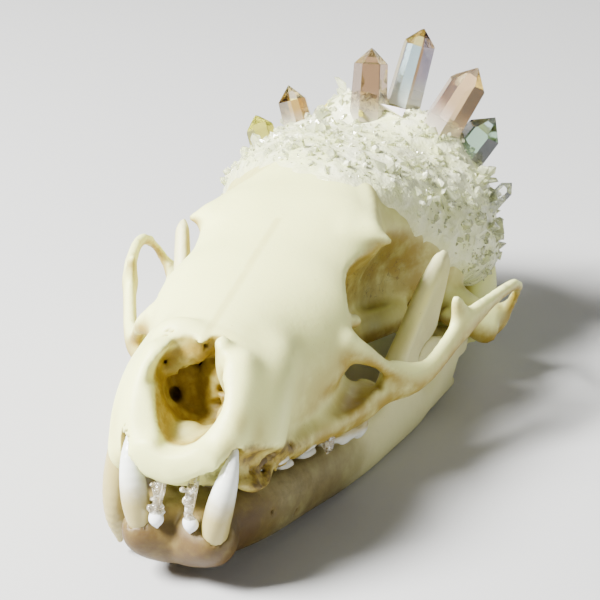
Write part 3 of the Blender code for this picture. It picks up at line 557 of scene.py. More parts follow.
def loft(sections, fatter=0.0):
    """The long body of the skull, from rounded sections along y."""
    rows = np.asarray(sections, float)
    knots = rows[:, 0]
    slopes = np.gradient(rows[:, 1:], knots, axis=0)

    def distance(x, y, z):
        values = eased(knots, rows[:, 1:], slopes, np.ravel(y)).astype(np.float32)
        half, top, bottom, widest, above, below = [values[:, i].reshape(np.shape(y)) for i in range(6)]
        up = z >= widest
        high = np.maximum(np.where(up, top - widest, widest - bottom), 0.05)
        power = np.where(up, above, below)
        aside, away = np.abs(x) / np.maximum(half, 0.05), np.abs(z - widest) / high
        k = (aside ** power + away ** power) ** (1 / power)
        r = np.sqrt(x * x + (z - widest) ** 2) + 1e-4
        ends = np.maximum(knots[0] - y, y - knots[-1])
        return (np.maximum(r - r / np.maximum(k, 1e-3), ends) - fatter).astype(np.float32)

    wide = rows[:, 1].max() + fatter
    low = (-wide, knots[0], rows[:, 3].min() - fatter)
    return distance, low, (wide, knots[-1], rows[:, 2].max() + fatter)


def fattened(canine, by):
    """A tooth's room in the bone, a little fatter than the tooth."""
    points, thick, tall = canine
    return limb(points, [t + by for t in thick], [t + by for t in tall])


def cranium_clay(grain):
    """The skull above the jaw, with its hollows."""
    clay = Clay((0, -3, -7), (29, 88, 28), grain)
    clay.lay(loft(SECTIONS), 0.01)
    # Lip round the nose opening, and the swelling over the canine's root
    clay.lay(limb([(4.7, 6.6, 11.8), (5.2, 4.8, 9.4), (5.1, 3.1, 6.6), (3.6, 1.7, 4.0), (0, 1.2, 3.0)],
                  [0.8, 1.0, 1.2, 1.5, 1.7], [1.0, 1.4, 1.8, 2.0, 2.0]), 3.6)
    clay.lay(limb([(6.9, 5.6, 1.6), (7.1, 6.8, 4.5), (6.9, 9.5, 8.0), (6.6, 13.0, 10.4)],
                  [1.7, 1.5, 1.3, 0.7], [2.3, 2.2, 1.9, 1.0]), 4.2)
    # Edge that bears the teeth, and the cheek at the root of the arch
    clay.lay(limb([(6.6, 4.6, 2.0), (7.2, 8.0, 1.5), (7.9, 13.0, 1.3), (9.0, 18.0, 1.3), (10.6, 23.0, 1.5),
                   (12.0, 28.0, 2.0), (12.0, 31.5, 2.8)], 1.4, 1.5), 1.5)
    clay.lay(limb([(10.0, 22, 3.2), (11.8, 26.5, 3.6), (13.9, 29.8, 4.2), (15.9, 32.2, 4.4)],
                  [2.2, 2.3, 1.9, 1.4], [3.0, 3.2, 2.6, 2.2], face=CHEEK), 2.0)
    # Eye socket and the hollow behind it
    clay.cut(egg((15.8, 33.0, 10.8), (9.6, 9.4, 8.1), (0, 0, -8)), 0.9)
    clay.cut(egg((15.9, 39.4, 9.4), (9.0, 8.6, 8.8)), 1.5)
    clay.cut(egg((16.8, 45.5, 8.8), (9.8, 10.0, 10.0), (0, 0, 8)), 2.0)
    clay.cut(egg((15.5, 43.0, 2.0), (8.8, 9.0, 7.0)), 2.0)
    # Brow process and the line behind it
    clay.lay(limb([(7.2, 37.0, 19.0), (9.6, 37.3, 19.0), (11.8, 37.7, 18.5)], [2.8, 1.8, 0.5],
                  [1.4, 1.1, 0.5], face=BACK), 1.5)
    clay.lay(limb([(9.6, 38.0, 19.2), (8.6, 41.5, 20.0), (7.0, 46, 21.2), (3.4, 53, 23.6)],
                  [0.8, 0.8, 0.8, 0.7]), 1.5)
    # Small knob on the front rim of the eye socket
    clay.lay(egg((11.0, 26.6, 11.9), (0.9, 1.0, 0.8)), 1.6)
    # Bar over the foramen, and the cheek arch
    clay.lay(limb([(11.2, 23.4, 10.0), (12.7, 25.0, 8.8), (14.4, 28.2, 6.4), (16.4, 32.0, 4.6)],
                  [1.1, 1.2, 1.2, 1.1], [1.6, 1.2, 1.0, 1.2], face=CHEEK), 1.2)
    clay.lay(limb([(15.0, 30.0, 4.4), (16.9, 32.4, 4.2), (18.3, 34.9, 4.8), (19.4, 37.4, 6.4),
                   (20.5, 40.0, 8.2), (21.7, 43.0, 9.5), (22.6, 46.2, 10.2), (23.6, 50.3, 10.7),
                   (24.2, 54.0, 10.5), (24.3, 56.6, 9.7)],
                  [1.3, 1.0, 0.85, 0.8, 0.8, 0.75, 0.7, 0.65, 0.65, 0.6],
                  [2.4, 1.9, 1.45, 1.45, 1.6, 1.45, 1.0, 0.8, 0.75, 0.6],
                  face=[CHEEK] * 2 + [ARCH_FRONT] * 5 + [(0.95, -0.3, 0)] * 2 + [(0.95, 0.3, 0)]), 0.6)
    clay.lay(limb([(24.3, 56.4, 9.8), (23.9, 58.6, 8.2), (22.8, 59.8, 5.9), (21.2, 60.2, 3.9),
                   (18.8, 60.4, 3.0), (14.6, 61.0, 4.0)], [0.5, 0.5, 0.6, 1.2, 1.7, 2.4],
                  [0.55, 0.55, 0.8, 1.5, 1.9, 2.4], face=[(0.95, 0.3, 0), (0.7, 0.7, 0)] + [BACK] * 4), 0.6)
    clay.lay(limb([(10.0, 62.8, 9.6), (13.0, 61.6, 7.4), (15.8, 60.8, 5.4), (19.0, 60.4, 3.9)],
                  [2.4, 2.3, 2.0, 1.6]), 3.0)
    clay.lay(egg((20.8, 58.5, 4.5), (1.3, 1.4, 1.9), (0, 20, 0)), 1.6)
    clay.lay(limb([(20.6, 40.6, 9.0), (20.2, 39.8, 11.0), (20.0, 39.2, 12.0)], [0.7, 0.65, 0.5],
                  [1.8, 1.1, 0.6], face=ARCH_FRONT), 1.0)
    # Side wall of the throat, up to the ear
    clay.lay(limb([(7.2, 42.0, 5.6), (8.8, 48.0, 5.2), (10.2, 53.0, 4.8)], 1.3, [2.0, 2.0, 1.8],
                  face=JAW_SIDE), 1.6)
    # Jaw joint: its front lip, the wall behind it and the room for the condyle
    clay.lay(limb([(20.5, 57.0, 3.3), (19.6, 56.4, 3.8), (17.6, 56.4, 4.4), (16.0, 56.8, 4.6)],
                  [0.8, 0.8, 0.8, 1.0], [1.7, 1.6, 1.3, 1.2], face=BACK), 1.6)
    clay.lay(limb([(19.6, 61.8, 2.6), (17.0, 62.2, 1.4), (13.4, 62.4, 1.6)], [0.8, 0.9, 0.9], [1.4, 1.9, 2.0],
                  face=BACK), 1.0)
    clay.cut(limb(CONDYLE, 2.2), 0.3)
    clay.cut(limb([(11.8, 18.0, 4.6), (12.3, 23.4, 5.2), (12.0, 30.0, 6.4)], [1.9, 1.75, 2.4],
                  [2.1, 1.9, 2.2]), 0.8)
    # Palate, the channel behind it and the plates beside that
    clay.cut(egg((0, 20.0, -1.2), (6.6, 19.0, 3.2)), 1.0)
    clay.cut(egg((0, 50.0, -0.4), (3.6, 12.0, 5.0)), 1.0)
    clay.lay(limb([(4.4, 40.0, 3.6), (4.5, 47.0, 2.4), (4.6, 54.0, 1.8), (4.9, 57.0, 0.4)],
                  [0.8, 0.7, 0.6, 0.5], [2.2, 2.2, 1.6, 0.8]), 0.8)
    # Ear capsule with its opening, the bumps beside it and the crests
    clay.lay(egg((9.8, 67.5, 2.6), (5.0, 8.6, 4.6), (0, 0, 12)), 1.2)
    clay.cut(limb([(18.6, 66.2, 4.4), (14.8, 66.8, 4.0)], [1.1, 0.9]), 0.5)
    clay.lay(egg((16.6, 73.0, 4.4), (2.4, 3.2, 3.2)), 2.0)
    clay.lay(egg((12.8, 78.0, 3.2), (1.6, 1.8, 3.2)), 1.6)
    clay.lay(limb([(17.2, 74.5, 7.0), (15.6, 78.0, 12.6), (11.0, 80.4, 17.6), (5.0, 81.2, 20.8),
                   (0, 81.4, 22.0)], 0.8, [1.6, 1.5, 1.5, 1.6, 1.7],
                  face=[(0.8, 0.6, 0), (0.6, 0.8, 0), (0.2, 0.98, 0), BACK, BACK]), 1.5)
    clay.lay(limb([(0, 54, 23.5), (0, 62, 24.2), (0, 70, 23.8), (0, 78, 22.3), (0, 81.4, 22.0)],
                  0.5, [0.9, 0.9, 0.9, 1.3, 1.6]), 1.2)
    # Neck condyles, the opening between them and the empty braincase
    clay.lay(egg((5.0, 82.8, 4.6), (2.6, 2.6, 3.4), (0, 20, 0)), 1.2)
    clay.cut(egg((0, 82.0, 9.2), (5.4, 9.0, 4.4)), 0.8)
    clay.cut(egg((0, 65.0, 13.2), (14.4, 15.5, 9.2)), 0.5)
    # Passage behind the nose opening
    clay.cut(limb([(0, 8.4, 8.8), (0, 12.0, 8.6), (0, 18.0, 8.4), (0, 27.0, 9.4)], [4.2, 4.6, 4.8, 4.2],
                  [4.0, 4.2, 4.6, 4.0]), 1.0)
    clay.mirror()
    clay.cut(prism(NOSE_OUTLINE, -4.0, 9.0), 0.7)
    nose_inside(clay)
    # Left canine's empty socket: the edge there is worn back to spongy bone
    clay.cut(limb([(-5.2, 1.0, 0.6), (-3.2, 0.2, 0.0), (-1.2, -0.2, -0.5), (0.4, -0.2, -0.4), (2.0, 0.0, 0.2),
                   (3.6, 0.4, 1.3), (5.2, 1.2, 2.2), (7.4, 2.4, 2.4), (9.5, 5.4, 2.0), (10.3, 9.0, 0.8),
                   (10.8, 13.0, -0.6)], [1.1, 1.2, 1.3, 1.3, 1.3, 1.5, 1.7, 1.9, 2.1, 2.1, 1.8]), 0.5)
    clay.lay(egg((2.4, 3.2, 0.9), (1.5, 0.6, 1.2), (0, -10, 0)), 0.5)
    clay.cut(egg((8.0, 6.0, 0.9), (0.9, 1.3, 1.0)), 0.4)
    chance = np.random.default_rng(EDGE_SEED)
    for _ in range(EDGE_PITS):
        y = chance.uniform(2.0, 13.0)
        x = chance.uniform(1.0, 5.0) if y < 3.2 else chance.uniform(6.4, 8.6)
        z = chance.uniform(-0.8, 3.2)
        clay.cut(egg((x, y, z), chance.uniform(0.25, 0.6, 3)), 0.3)
    for canine in (LOWER_CANINE, LOWER_CANINE_RIGHT):
        clay.cut(fattened(canine, 0.3), 0.2)
    return clay


def nose_inside(clay):
    """The walls, scrolls and pits that can be seen inside the nose."""
    clay.lay(limb([(2.2, 7.6, 13.6), (2.5, 7.4, 11.4), (3.1, 7.4, 9.2)], [0.7, 0.8, 0.6], [0.9, 1.2, 0.9]),
             0.9)
    clay.lay(egg((1.9, 10.8, 8.2), (3.4, 1.3, 5.4), (0, 0, -12)), 1.0)
    clay.lay(egg((-2.9, 9.8, 12.6), (3.4, 1.5, 2.6), (-20, 0, 0)), 0.8)
    clay.lay(egg((-3.0, 11.8, 6.2), (3.0, 0.9, 4.0)), 0.6)
    clay.cut(limb([(-3.9, 10.0, 6.4), (-4.2, 12.0, 6.0)], 0.7, 0.8), 0.3)
    clay.lay(limb([(-4.9, 8.2, 9.6), (-3.2, 8.8, 9.9), (-1.6, 9.2, 11.4)], 0.6), 0.8)
    clay.lay(egg((-0.3, 5.7, 4.3), (1.9, 1.9, 1.1), (0, 12, 0)), 0.4)
    clay.lay(limb([(2.9, 6.0, 6.6), (3.0, 8.4, 7.2), (2.6, 11.0, 7.2)], 0.5, 0.8), 0.6)
    chance = np.random.default_rng(NOSE_SEED)
    for _ in range(NOSE_PITS):
        x = chance.uniform(-4.4, 3.4)
        y = chance.uniform(8.8, 10.4)
        z = chance.uniform(4.6, 11.6) if x > -0.6 else chance.uniform(10.0, 13.4)
        clay.cut(egg((x, y, z), chance.uniform(0.3, 0.8, 3)), 0.3)


def mandible_clay(grain):
    """The lower jaw, its two halves fused at the chin."""
    clay = Clay((0, -4, -13), (24, 66, 20), grain)
    clay.lay(limb([(2.0, 3.4, -5.4), (4.4, 8.0, -5.3), (6.4, 13.0, -5.2), (8.2, 19.0, -5.1),
                   (9.9, 25.0, -5.0), (11.6, 31.0, -4.5), (13.2, 37.0, -3.5), (14.6, 43.0, -2.5),
                   (15.6, 49.0, -1.8), (16.3, 54.0, -1.6)],
                  [2.2, 2.3, 2.1, 2.0, 1.9, 1.8, 1.6, 1.4, 1.2, 1.0],
                  [2.9, 3.4, 3.5, 3.35, 3.35, 3.4, 3.5, 3.7, 3.0, 2.2], face=JAW_SIDE), 0.01)
    clay.lay(egg((0, 5.2, -5.4), (4.4, 4.8, 3.1), (20, 0, 0)), 2.5)
    clay.lay(egg((3.7, 1.7, -5.3), (2.0, 2.6, 2.1)), 2.6)
    clay.lay(limb([(15.4, 49.0, -3.2), (16.0, 53.5, -3.7), (16.3, 57.6, -4.3)], [1.1, 0.9, 0.8],
                  [1.6, 1.2, 1.0], face=JAW_SIDE), 1.2)
    clay.lay(limb([(13.9, 42.0, -0.5), (14.5, 43.2, 4.0), (15.4, 45.0, 9.0), (16.2, 46.8, 13.0),
                   (16.5, 47.6, 14.4)], [1.1, 0.95, 0.9, 0.8, 0.6], [6.4, 4.4, 3.2, 2.2, 1.2], face=JAW_SIDE),
             1.2)
    clay.lay(limb([(12.6, 35.6, -1.0), (13.3, 38.2, 2.6), (14.2, 41.2, 7.0), (15.4, 44.2, 11.8),
                   (16.3, 46.4, 14.4)], [1.2, 1.1, 1.1, 0.9, 0.6], [1.4, 1.2, 1.0, 0.9, 0.6], face=JAW_SIDE),
             1.0)
    clay.lay(limb([(15.4, 49.0, 1.2), (16.2, 54.0, 0.6), (16.8, 58.6, 0.4)], [1.0, 1.1, 1.4], [3.0, 2.2, 1.4],
                  face=JAW_SIDE), 1.5)
    clay.lay(limb(CONDYLE, 1.35), 0.8)
    clay.cut(egg((19.2, 44.0, 1.6), (4.2, 6.6, 5.0), (0, 0, 18)), 1.2)
    # Small nerve holes on the side
    clay.cut(limb([(9.0, 9.4, -4.9), (7.0, 10.6, -5.0)], 0.3), 0.3)
    clay.cut(limb([(9.6, 14.6, -6.4), (7.6, 15.2, -6.4)], 0.3), 0.3)
    clay.mirror()
    # Collars of bone that hold the canines
    for path, thick, tall in (LOWER_CANINE, LOWER_CANINE_RIGHT):
        low, high = np.array(path[0]), np.array(path[0]) * 0.45 + np.array(path[1]) * 0.55
        clay.lay(limb([low, high], thick[0] + 0.35, tall[0] + 0.35), 1.4)
        clay.cut(fattened((path, thick, tall), -0.2), 0.1)
    return clay


def floor_cut(points):
    """Points of the jaw pressed flat where they would reach below what it rests on."""
    world = to_world(points)
    world[:, 2] = np.maximum(world[:, 2], 0.0)
    return world


def normals_of(points, faces):
    """Unit normals at the points of a skin of quads."""
    a, b, c, d = (points[faces[:, i]] for i in range(4))
    across = np.cross(c - a, d - b)
    total = np.zeros_like(points)
    for i in range(4):
        np.add.at(total, faces[:, i], across)
    return total / np.maximum(np.linalg.norm(total, axis=1), 1e-9)[:, None]


def hollowness(clay, points, normals):
    """How enclosed each point is: 0 on a free face, towards 1 in a cleft or a recess. The bones' colours use
    it as painted shade.
    """
    closed = np.zeros(len(points))
    for reach, weight in ((0.9, 0.35), (2.2, 0.65)):
        closed += weight * (1 - np.clip(clay.read(points + normals * reach) / reach, 0, 1))
    return closed


def spots(points, blobs):
    """A mask that is strong near the given places: centre, radii and strength of each."""
    mask = np.zeros(len(points))
    for centre, radii, strength in blobs:
        away = (((points - np.array(centre)) / np.array(radii)) ** 2).sum(1)
        mask = np.maximum(mask, strength * np.exp(-away * 1.2))
    return np.clip(mask, 0, 1)


def add_piece(name, points, faces, materials, stands_for, smooth=True, masks=None, kinds=None):
    """Make one piece of the object, riding on the part in place of its CAD nodes."""
    mesh = bpy.data.meshes.new(name)
    mesh.from_pydata(np.asarray(points).tolist(), [], [list(face) for face in faces])
    for material in materials:
        mesh.materials.append(material)
    mesh.polygons.foreach_set("use_smooth", np.full(len(mesh.polygons), smooth))
    if kinds is not None:
        mesh.polygons.foreach_set("material_index", np.asarray(kinds, np.int32))
    for label, values in (masks or {}).items():
        domain = "POINT" if len(values) == len(mesh.vertices) else "FACE"
        mesh.attributes.new(label, "FLOAT", domain).data.foreach_set("value", np.asarray(values, np.float32))
    mesh.update()
    thing = bpy.data.objects.new(name, mesh)
    bpy.context.scene.collection.objects.link(thing)
    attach(thing, "root")
    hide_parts(*stands_for)
    return thing


class Wiring:
    """Adds nodes to a node tree and joins them up."""

    def __init__(self, tree):
        self.tree = tree

    def add(self, kind, inputs=None, **settings):
        node = self.tree.nodes.new(kind)
        for key, value in settings.items():
            setattr(node, key, value)
        for key, value in (inputs or {}).items():
            self.feed(node.inputs[key], value)
        return node

    def feed(self, socket, value):
        if isinstance(value, bpy.types.NodeSocket):
            self.tree.links.new(value, socket)
        else:
            socket.default_value = value

    def math(self, operation, *values):
        return self.add("ShaderNodeMath", dict(enumerate(values)), operation=operation).outputs[0]

    def mix(self, share, first, second):
        inputs = {0: share, 6: first, 7: second}
        return self.add("ShaderNodeMix", inputs, data_type="RGBA").outputs[2]

    def noise(self, place, scale, detail=3.0, roughness=0.55):
        inputs = {"Vector": place, "Scale": scale, "Detail": detail, "Roughness": roughness}
        return self.add("ShaderNodeTexNoise", inputs).outputs["Fac"]

    def ramp(self, value, low, high):
        """0 below low and 1 above high, with an even slope between."""
        inputs = {"Value": value, "From Min": low, "From Max": high}
        return self.add("ShaderNodeMapRange", inputs, interpolation_type="SMOOTHSTEP").outputs["Result"]

    def mask(self, label):
        """One of the masks that add_piece stores on the mesh."""
        return self.add("ShaderNodeAttribute", attribute_name=label).outputs["Fac"]

    def place(self):
        return self.add("ShaderNodeTexCoord").outputs["Object"]

    def relief(self, shader, height, strength, distance):
        """Bump a shader's surface by the given height."""
        inputs = {"Strength": strength, "Distance": distance, "Height": height}
        self.feed(shader.inputs["Normal"], self.add("ShaderNodeBump", inputs).outputs["Normal"])


def new_material(name):
    """A material with its wiring and its shader."""
    material = bpy.data.materials.new(name)
    material.use_nodes = True
    return material, Wiring(material.node_tree), material.node_tree.nodes["Principled BSDF"]


def let_light_sink(shader, weight, radius):
    """Give a material a little depth, as bone and enamel have."""
    shader.inputs["Subsurface Weight"].default_value = weight
    shader.inputs["Subsurface Radius"].default_value = radius
    shader.inputs["Subsurface Scale"].default_value = 0.0008


def new_group(name, inputs, outputs):
    """A shader node group with named sockets, and the nodes for its two ends."""
    group = bpy.data.node_groups.new(name, "ShaderNodeTree")
    for label, kind, value in inputs:
        socket = group.interface.new_socket(label, in_out="INPUT", socket_type=kind)
        if value is not None:
            socket.default_value = value
    for label, kind in outputs:
        group.interface.new_socket(label, in_out="OUTPUT", socket_type=kind)
    wiring = Wiring(group)
    return group, wiring, wiring.add("NodeGroupInput"), wiring.add("NodeGroupOutput")


def bone_tones():
    """Bone: a light and a deep tone, mottled at random and with painted shade in hollows, stains mixed with
    painted shade, dirt, fine pores and hair cracks.
    """
    name = "Bone tones"
    if name in bpy.data.node_groups:
        return bpy.data.node_groups[name]
    colour, number, vector = "NodeSocketColor", "NodeSocketFloat", "NodeSocketVector"
    group, w, start, end = new_group(name, [("Place", vector, None), ("Light", colour, (1, 1, 1, 1)),
                                            ("Deep", colour, (0.5, 0.4, 0.2, 1)),
                                            ("Stain", colour, (0.5, 0.35, 0.1, 1)),
                                            ("Dirt", colour, (0.06, 0.03, 0.01, 1)), ("Hollow", number, 0.0),
                                            ("Stained", number, 0.0), ("Soiled", number, 0.0),
                                            ("Cracked", number, 0.0)],
                                     [("Colour", colour), ("Height", number), ("Gloss", number)])
    at = start.outputs["Place"]
    broad = w.noise(at, 110.0, 3.0)
    middle = w.noise(at, 420.0, 4.0)
    fine = w.noise(at, 2300.0, 2.0)
    # Painted shade: the hollow mask pulls the tone towards the deep one in clefts and recesses, on top of the
    # random mottling
    depth = w.math("MULTIPLY_ADD", w.math("SUBTRACT", broad, 0.5), 0.7, start.outputs["Hollow"])
    depth = w.math("MULTIPLY_ADD", w.math("SUBTRACT", middle, 0.5), 0.25, depth)
    tone = w.mix(w.ramp(depth, 0.02, 0.95), start.outputs["Light"], start.outputs["Deep"])
    # The stain mask holds real stains and painted shade, so the stain tone here paints both
    stained = w.math("MULTIPLY", start.outputs["Stained"], w.ramp(middle, -0.1, 0.6))
    tone = w.mix(stained, tone, start.outputs["Stain"])
    crumbs = w.math("ADD", middle, w.math("MULTIPLY", fine, 0.4))
    dirty = w.math("MULTIPLY", start.outputs["Soiled"], w.ramp(crumbs, 0.60, 0.86))
    tone = w.mix(dirty, tone, start.outputs["Dirt"])
    pores = w.math("MULTIPLY", w.ramp(fine, 0.70, 0.80), 0.35)
    tone = w.mix(pores, tone, start.outputs["Stain"])
    sway = w.add("ShaderNodeTexNoise", {"Vector": at, "Scale": 500.0}).outputs["Color"]
    bent = w.add("ShaderNodeVectorMath", {0: at, 1: sway, 2: (0.0006, 0.0006, 0.0006)},
                 operation="MULTIPLY_ADD").outputs[0]
    edge = w.add("ShaderNodeTexVoronoi", {"Vector": bent, "Scale": 190.0},
                 feature="DISTANCE_TO_EDGE").outputs["Distance"]
    crack = w.math("MULTIPLY", w.math("SUBTRACT", 1.0, w.ramp(edge, 0.004, 0.022)), start.outputs["Cracked"])
    tone = w.mix(w.math("MULTIPLY", crack, 0.55), tone, start.outputs["Dirt"])
    height = w.math("MULTIPLY_ADD", middle, 0.6, w.math("MULTIPLY", fine, 0.25))
    height = w.math("SUBTRACT", height, crack)
    w.feed(end.inputs["Colour"], tone)
    w.feed(end.inputs["Height"], height)
    w.feed(end.inputs["Gloss"], w.ramp(broad, 0.3, 0.7))
    return group


def bone_material(name, tones):
    """Dry bone with a faint waxy depth, from its light, deep, stain and dirt tones; the deep and the stain
    tones also paint shade.
    """
    material, w, shader = new_material(name)
    bone = w.add("ShaderNodeGroup", node_tree=bone_tones())
    w.feed(bone.inputs["Place"], w.place())
    for label, tone in zip(("Light", "Deep", "Stain", "Dirt"), tones):
        bone.inputs[label].default_value = (*tone, 1)
    for label in ("Hollow", "Stained", "Soiled", "Cracked"):
        w.feed(bone.inputs[label], w.mask(label.lower()))
    w.feed(shader.inputs["Base Color"], bone.outputs["Colour"])
    gloss = {"Value": bone.outputs["Gloss"], "To Min": 0.42, "To Max": 0.6}
    w.feed(shader.inputs["Roughness"], w.add("ShaderNodeMapRange", gloss).outputs["Result"])
    w.relief(shader, bone.outputs["Height"], 0.35, 0.0002)
    let_light_sink(shader, 0.12, (1.0, 0.7, 0.4))
    return material


def enamel_material():
    """Tooth enamel: bluish white at the tip, cream and duller at the root."""
    material, w, shader = new_material("tooth_enamel")
    streaks = w.noise(w.place(), 700.0, 3.0)
    share = w.math("MULTIPLY_ADD", w.math("SUBTRACT", streaks, 0.5), 0.3, w.mask("crown"))
    tone = w.mix(w.ramp(share, 0.1, 0.9), (0.42, 0.35, 0.13, 1), (0.84, 0.87, 0.80, 1))
    w.feed(shader.inputs["Base Color"], tone)
    w.relief(shader, streaks, 0.2, 0.0001)
    shader.inputs["Roughness"].default_value = 0.24
    let_light_sink(shader, 0.2, (1.0, 0.9, 0.8))
    return material


def quartz_veils():
    """Cloudy veils and fine healed cracks inside quartz."""
    name = "Quartz veils"
    if name in bpy.data.node_groups:
        return bpy.data.node_groups[name]
    number, vector = "NodeSocketFloat", "NodeSocketVector"
    group, w, start, end = new_group(
        name, [("Place", vector, None), ("Cloud", number, 0.5), ("Size", number, 500.0)],
        [("Veil", number), ("Height", number)])
    at, size = start.outputs["Place"], start.outputs["Size"]
    cloud = w.noise(at, size, 4.0, 0.6)
    sheets = w.noise(at, w.math("MULTIPLY", size, 3.0), 2.0)
    veil = w.math("ADD", w.math("MULTIPLY", cloud, 0.75), w.math("MULTIPLY", sheets, 0.25))
    low = w.math("SUBTRACT", 0.85, w.math("MULTIPLY", start.outputs["Cloud"], 0.6))
    w.feed(end.inputs["Veil"], w.ramp(veil, low, w.math("ADD", low, 0.16)))
    w.feed(end.inputs["Height"], sheets)
    return group


def quartz_material(name, tint_and_reflection, cloud, clearness, roughness, size, milk=(0.80, 0.82, 0.74), face_tints_and_reflections=()):
    """Quartz that light passes through, with a tint, painted reflection on some crystals' faces, and some
    milky veils.

    cloud is how much of it is veiled and size how fine the veils are. The colours given after the
    first are those of the faces whose facet mask is 1, 2, 3: tints with painted reflection and
    refraction, by which way each face looks. A crystal with these is also milky towards its root.
    """
    material, w, shader = new_material(name)
    veils = w.add("ShaderNodeGroup", {"Place": w.place(), "Cloud": cloud, "Size": size},
                  node_tree=quartz_veils())
    veil = veils.outputs["Veil"]
    tone = (*tint_and_reflection, 1)
    # Painted reflection and refraction: each face's tint is picked by which way it looks
    for number, face_tint_and_reflection in enumerate(face_tints_and_reflections):
        tone = w.mix(w.ramp(w.mask("facet"), number + 0.4, number + 0.6), tone, (*face_tint_and_reflection, 1))
    if face_tints_and_reflections:
        rooted = w.math("MULTIPLY", w.ramp(w.mask("rooted"), 0.55, 1.0), 0.55)
        veil = w.math("MAXIMUM", veil, rooted)
    w.feed(shader.inputs["Base Color"], w.mix(veil, tone, (*milk, 1)))
    w.feed(shader.inputs["Transmission Weight"],
           w.math("SUBTRACT", clearness, w.math("MULTIPLY", veil, clearness * 0.75)))
    w.relief(shader, veils.outputs["Height"], 0.12, 0.0001)
    shader.inputs["Roughness"].default_value = roughness
    shader.inputs["IOR"].default_value = 1.54
    return material


def bed_material():
    """The milky bed between the chips, which takes on the colour of the bone towards its edge."""
    material, w, shader = new_material("crust_bed")
    at = w.place()
    grains = w.noise(at, 1400.0, 3.0)
    patches = w.noise(at, 260.0, 3.0)
    milk = w.mix(w.ramp(patches, 0.35, 0.65), (0.84, 0.88, 0.44, 1), (0.95, 0.97, 0.66, 1))
    tone = w.mix(w.ramp(w.mask("edge"), 0.5, 1.0), milk, (0.90, 0.91, 0.48, 1))
    specks = w.math("MULTIPLY", w.ramp(grains, 0.70, 0.74), w.ramp(patches, 0.50, 0.62))
    w.feed(shader.inputs["Base Color"], w.mix(specks, tone, (0.03, 0.035, 0.02, 1)))
    w.relief(shader, grains, 0.8, 0.00025)
    shader.inputs["Roughness"].default_value = 0.12
    shader.inputs["Transmission Weight"].default_value = 0.15
    shader.inputs["IOR"].default_value = 1.5
    return material


def plain_material(name, colour, roughness):
    """A plain material for the floor, the white beads and the small dark grains."""
    material, _, shader = new_material(name)
    shader.inputs["Base Color"].default_value = (*colour, 1)
    shader.inputs["Roughness"].default_value = roughness
    return material


def solid_between(planes):
    """The corners of the solid that lies behind all the given planes (normal, offset)."""
    normals = np.array([normal for normal, _ in planes])
    offsets = np.array([offset for _, offset in planes])
    corners = []
    count = len(planes)
    for i in range(count):
        for j in range(i + 1, count):
            for k in range(j + 1, count):
                rows = normals[[i, j, k]]
                if abs(np.linalg.det(rows)) < 1e-6:
                    continue
                point = np.linalg.solve(rows, offsets[[i, j, k]])
                if (normals @ point <= offsets + 1e-7).all():
                    corners.append(point)
    return np.array(corners)


def hull_of(corners):
    """The flat faces round a cloud of corners, as points and faces."""
    mesh = bmesh.new()
    for corner in corners:
        mesh.verts.new(corner)
    bmesh.ops.remove_doubles(mesh, verts=mesh.verts, dist=1e-4)
    result = bmesh.ops.convex_hull(mesh, input=mesh.verts)
    loose = [v for v in result["geom_interior"] if isinstance(v, bmesh.types.BMVert)]
    bmesh.ops.delete(mesh, geom=loose, context="VERTS")
    bmesh.ops.dissolve_limit(mesh, angle_limit=0.02, verts=mesh.verts, edges=mesh.edges)
    bmesh.ops.recalc_face_normals(mesh, faces=mesh.faces)
    mesh.verts.index_update()
    points = np.array([v.co[:] for v in mesh.verts])
    faces = [[v.index for v in face.verts] for face in mesh.faces]
    mesh.free()
    return points, faces


def quartz_crystal(root, tip, half, turn, chance, uneven=0.1):
    """A six-sided crystal whose point has three large and three small faces."""
    root, tip = np.array(root, float), np.array(tip, float)
    length = np.linalg.norm(tip - root)
    planes = [(np.array([0, 0, -1.0]), 0.0)]
    for i in range(6):
        angle = math.radians(60 * i + turn)
        side = np.array([math.cos(angle), math.sin(angle), 0.03])
        side /= np.linalg.norm(side)
        planes.append((side, half * 0.87 * (1 - chance.uniform(0, uneven))))
        slope = math.radians(42 + chance.uniform(-5, 5))
        face = np.array([math.cos(angle) * math.cos(slope), math.sin(angle) * math.cos(slope),
                         math.sin(slope)])
        drop = chance.uniform(0.0, 0.12) if i % 2 else chance.uniform(0.12, 0.4)
        planes.append((face, face[2] * (length - half * 0.1 + drop * half * 0.4)))
    planes.append((np.array([0, 0, 1.0]), length))
    points, faces = hull_of(solid_between(planes))
    up = Vector((tip - root) / length)
    spin = np.array(up.to_track_quat("Z", "X").to_matrix())
    return points @ spin.T + root, faces


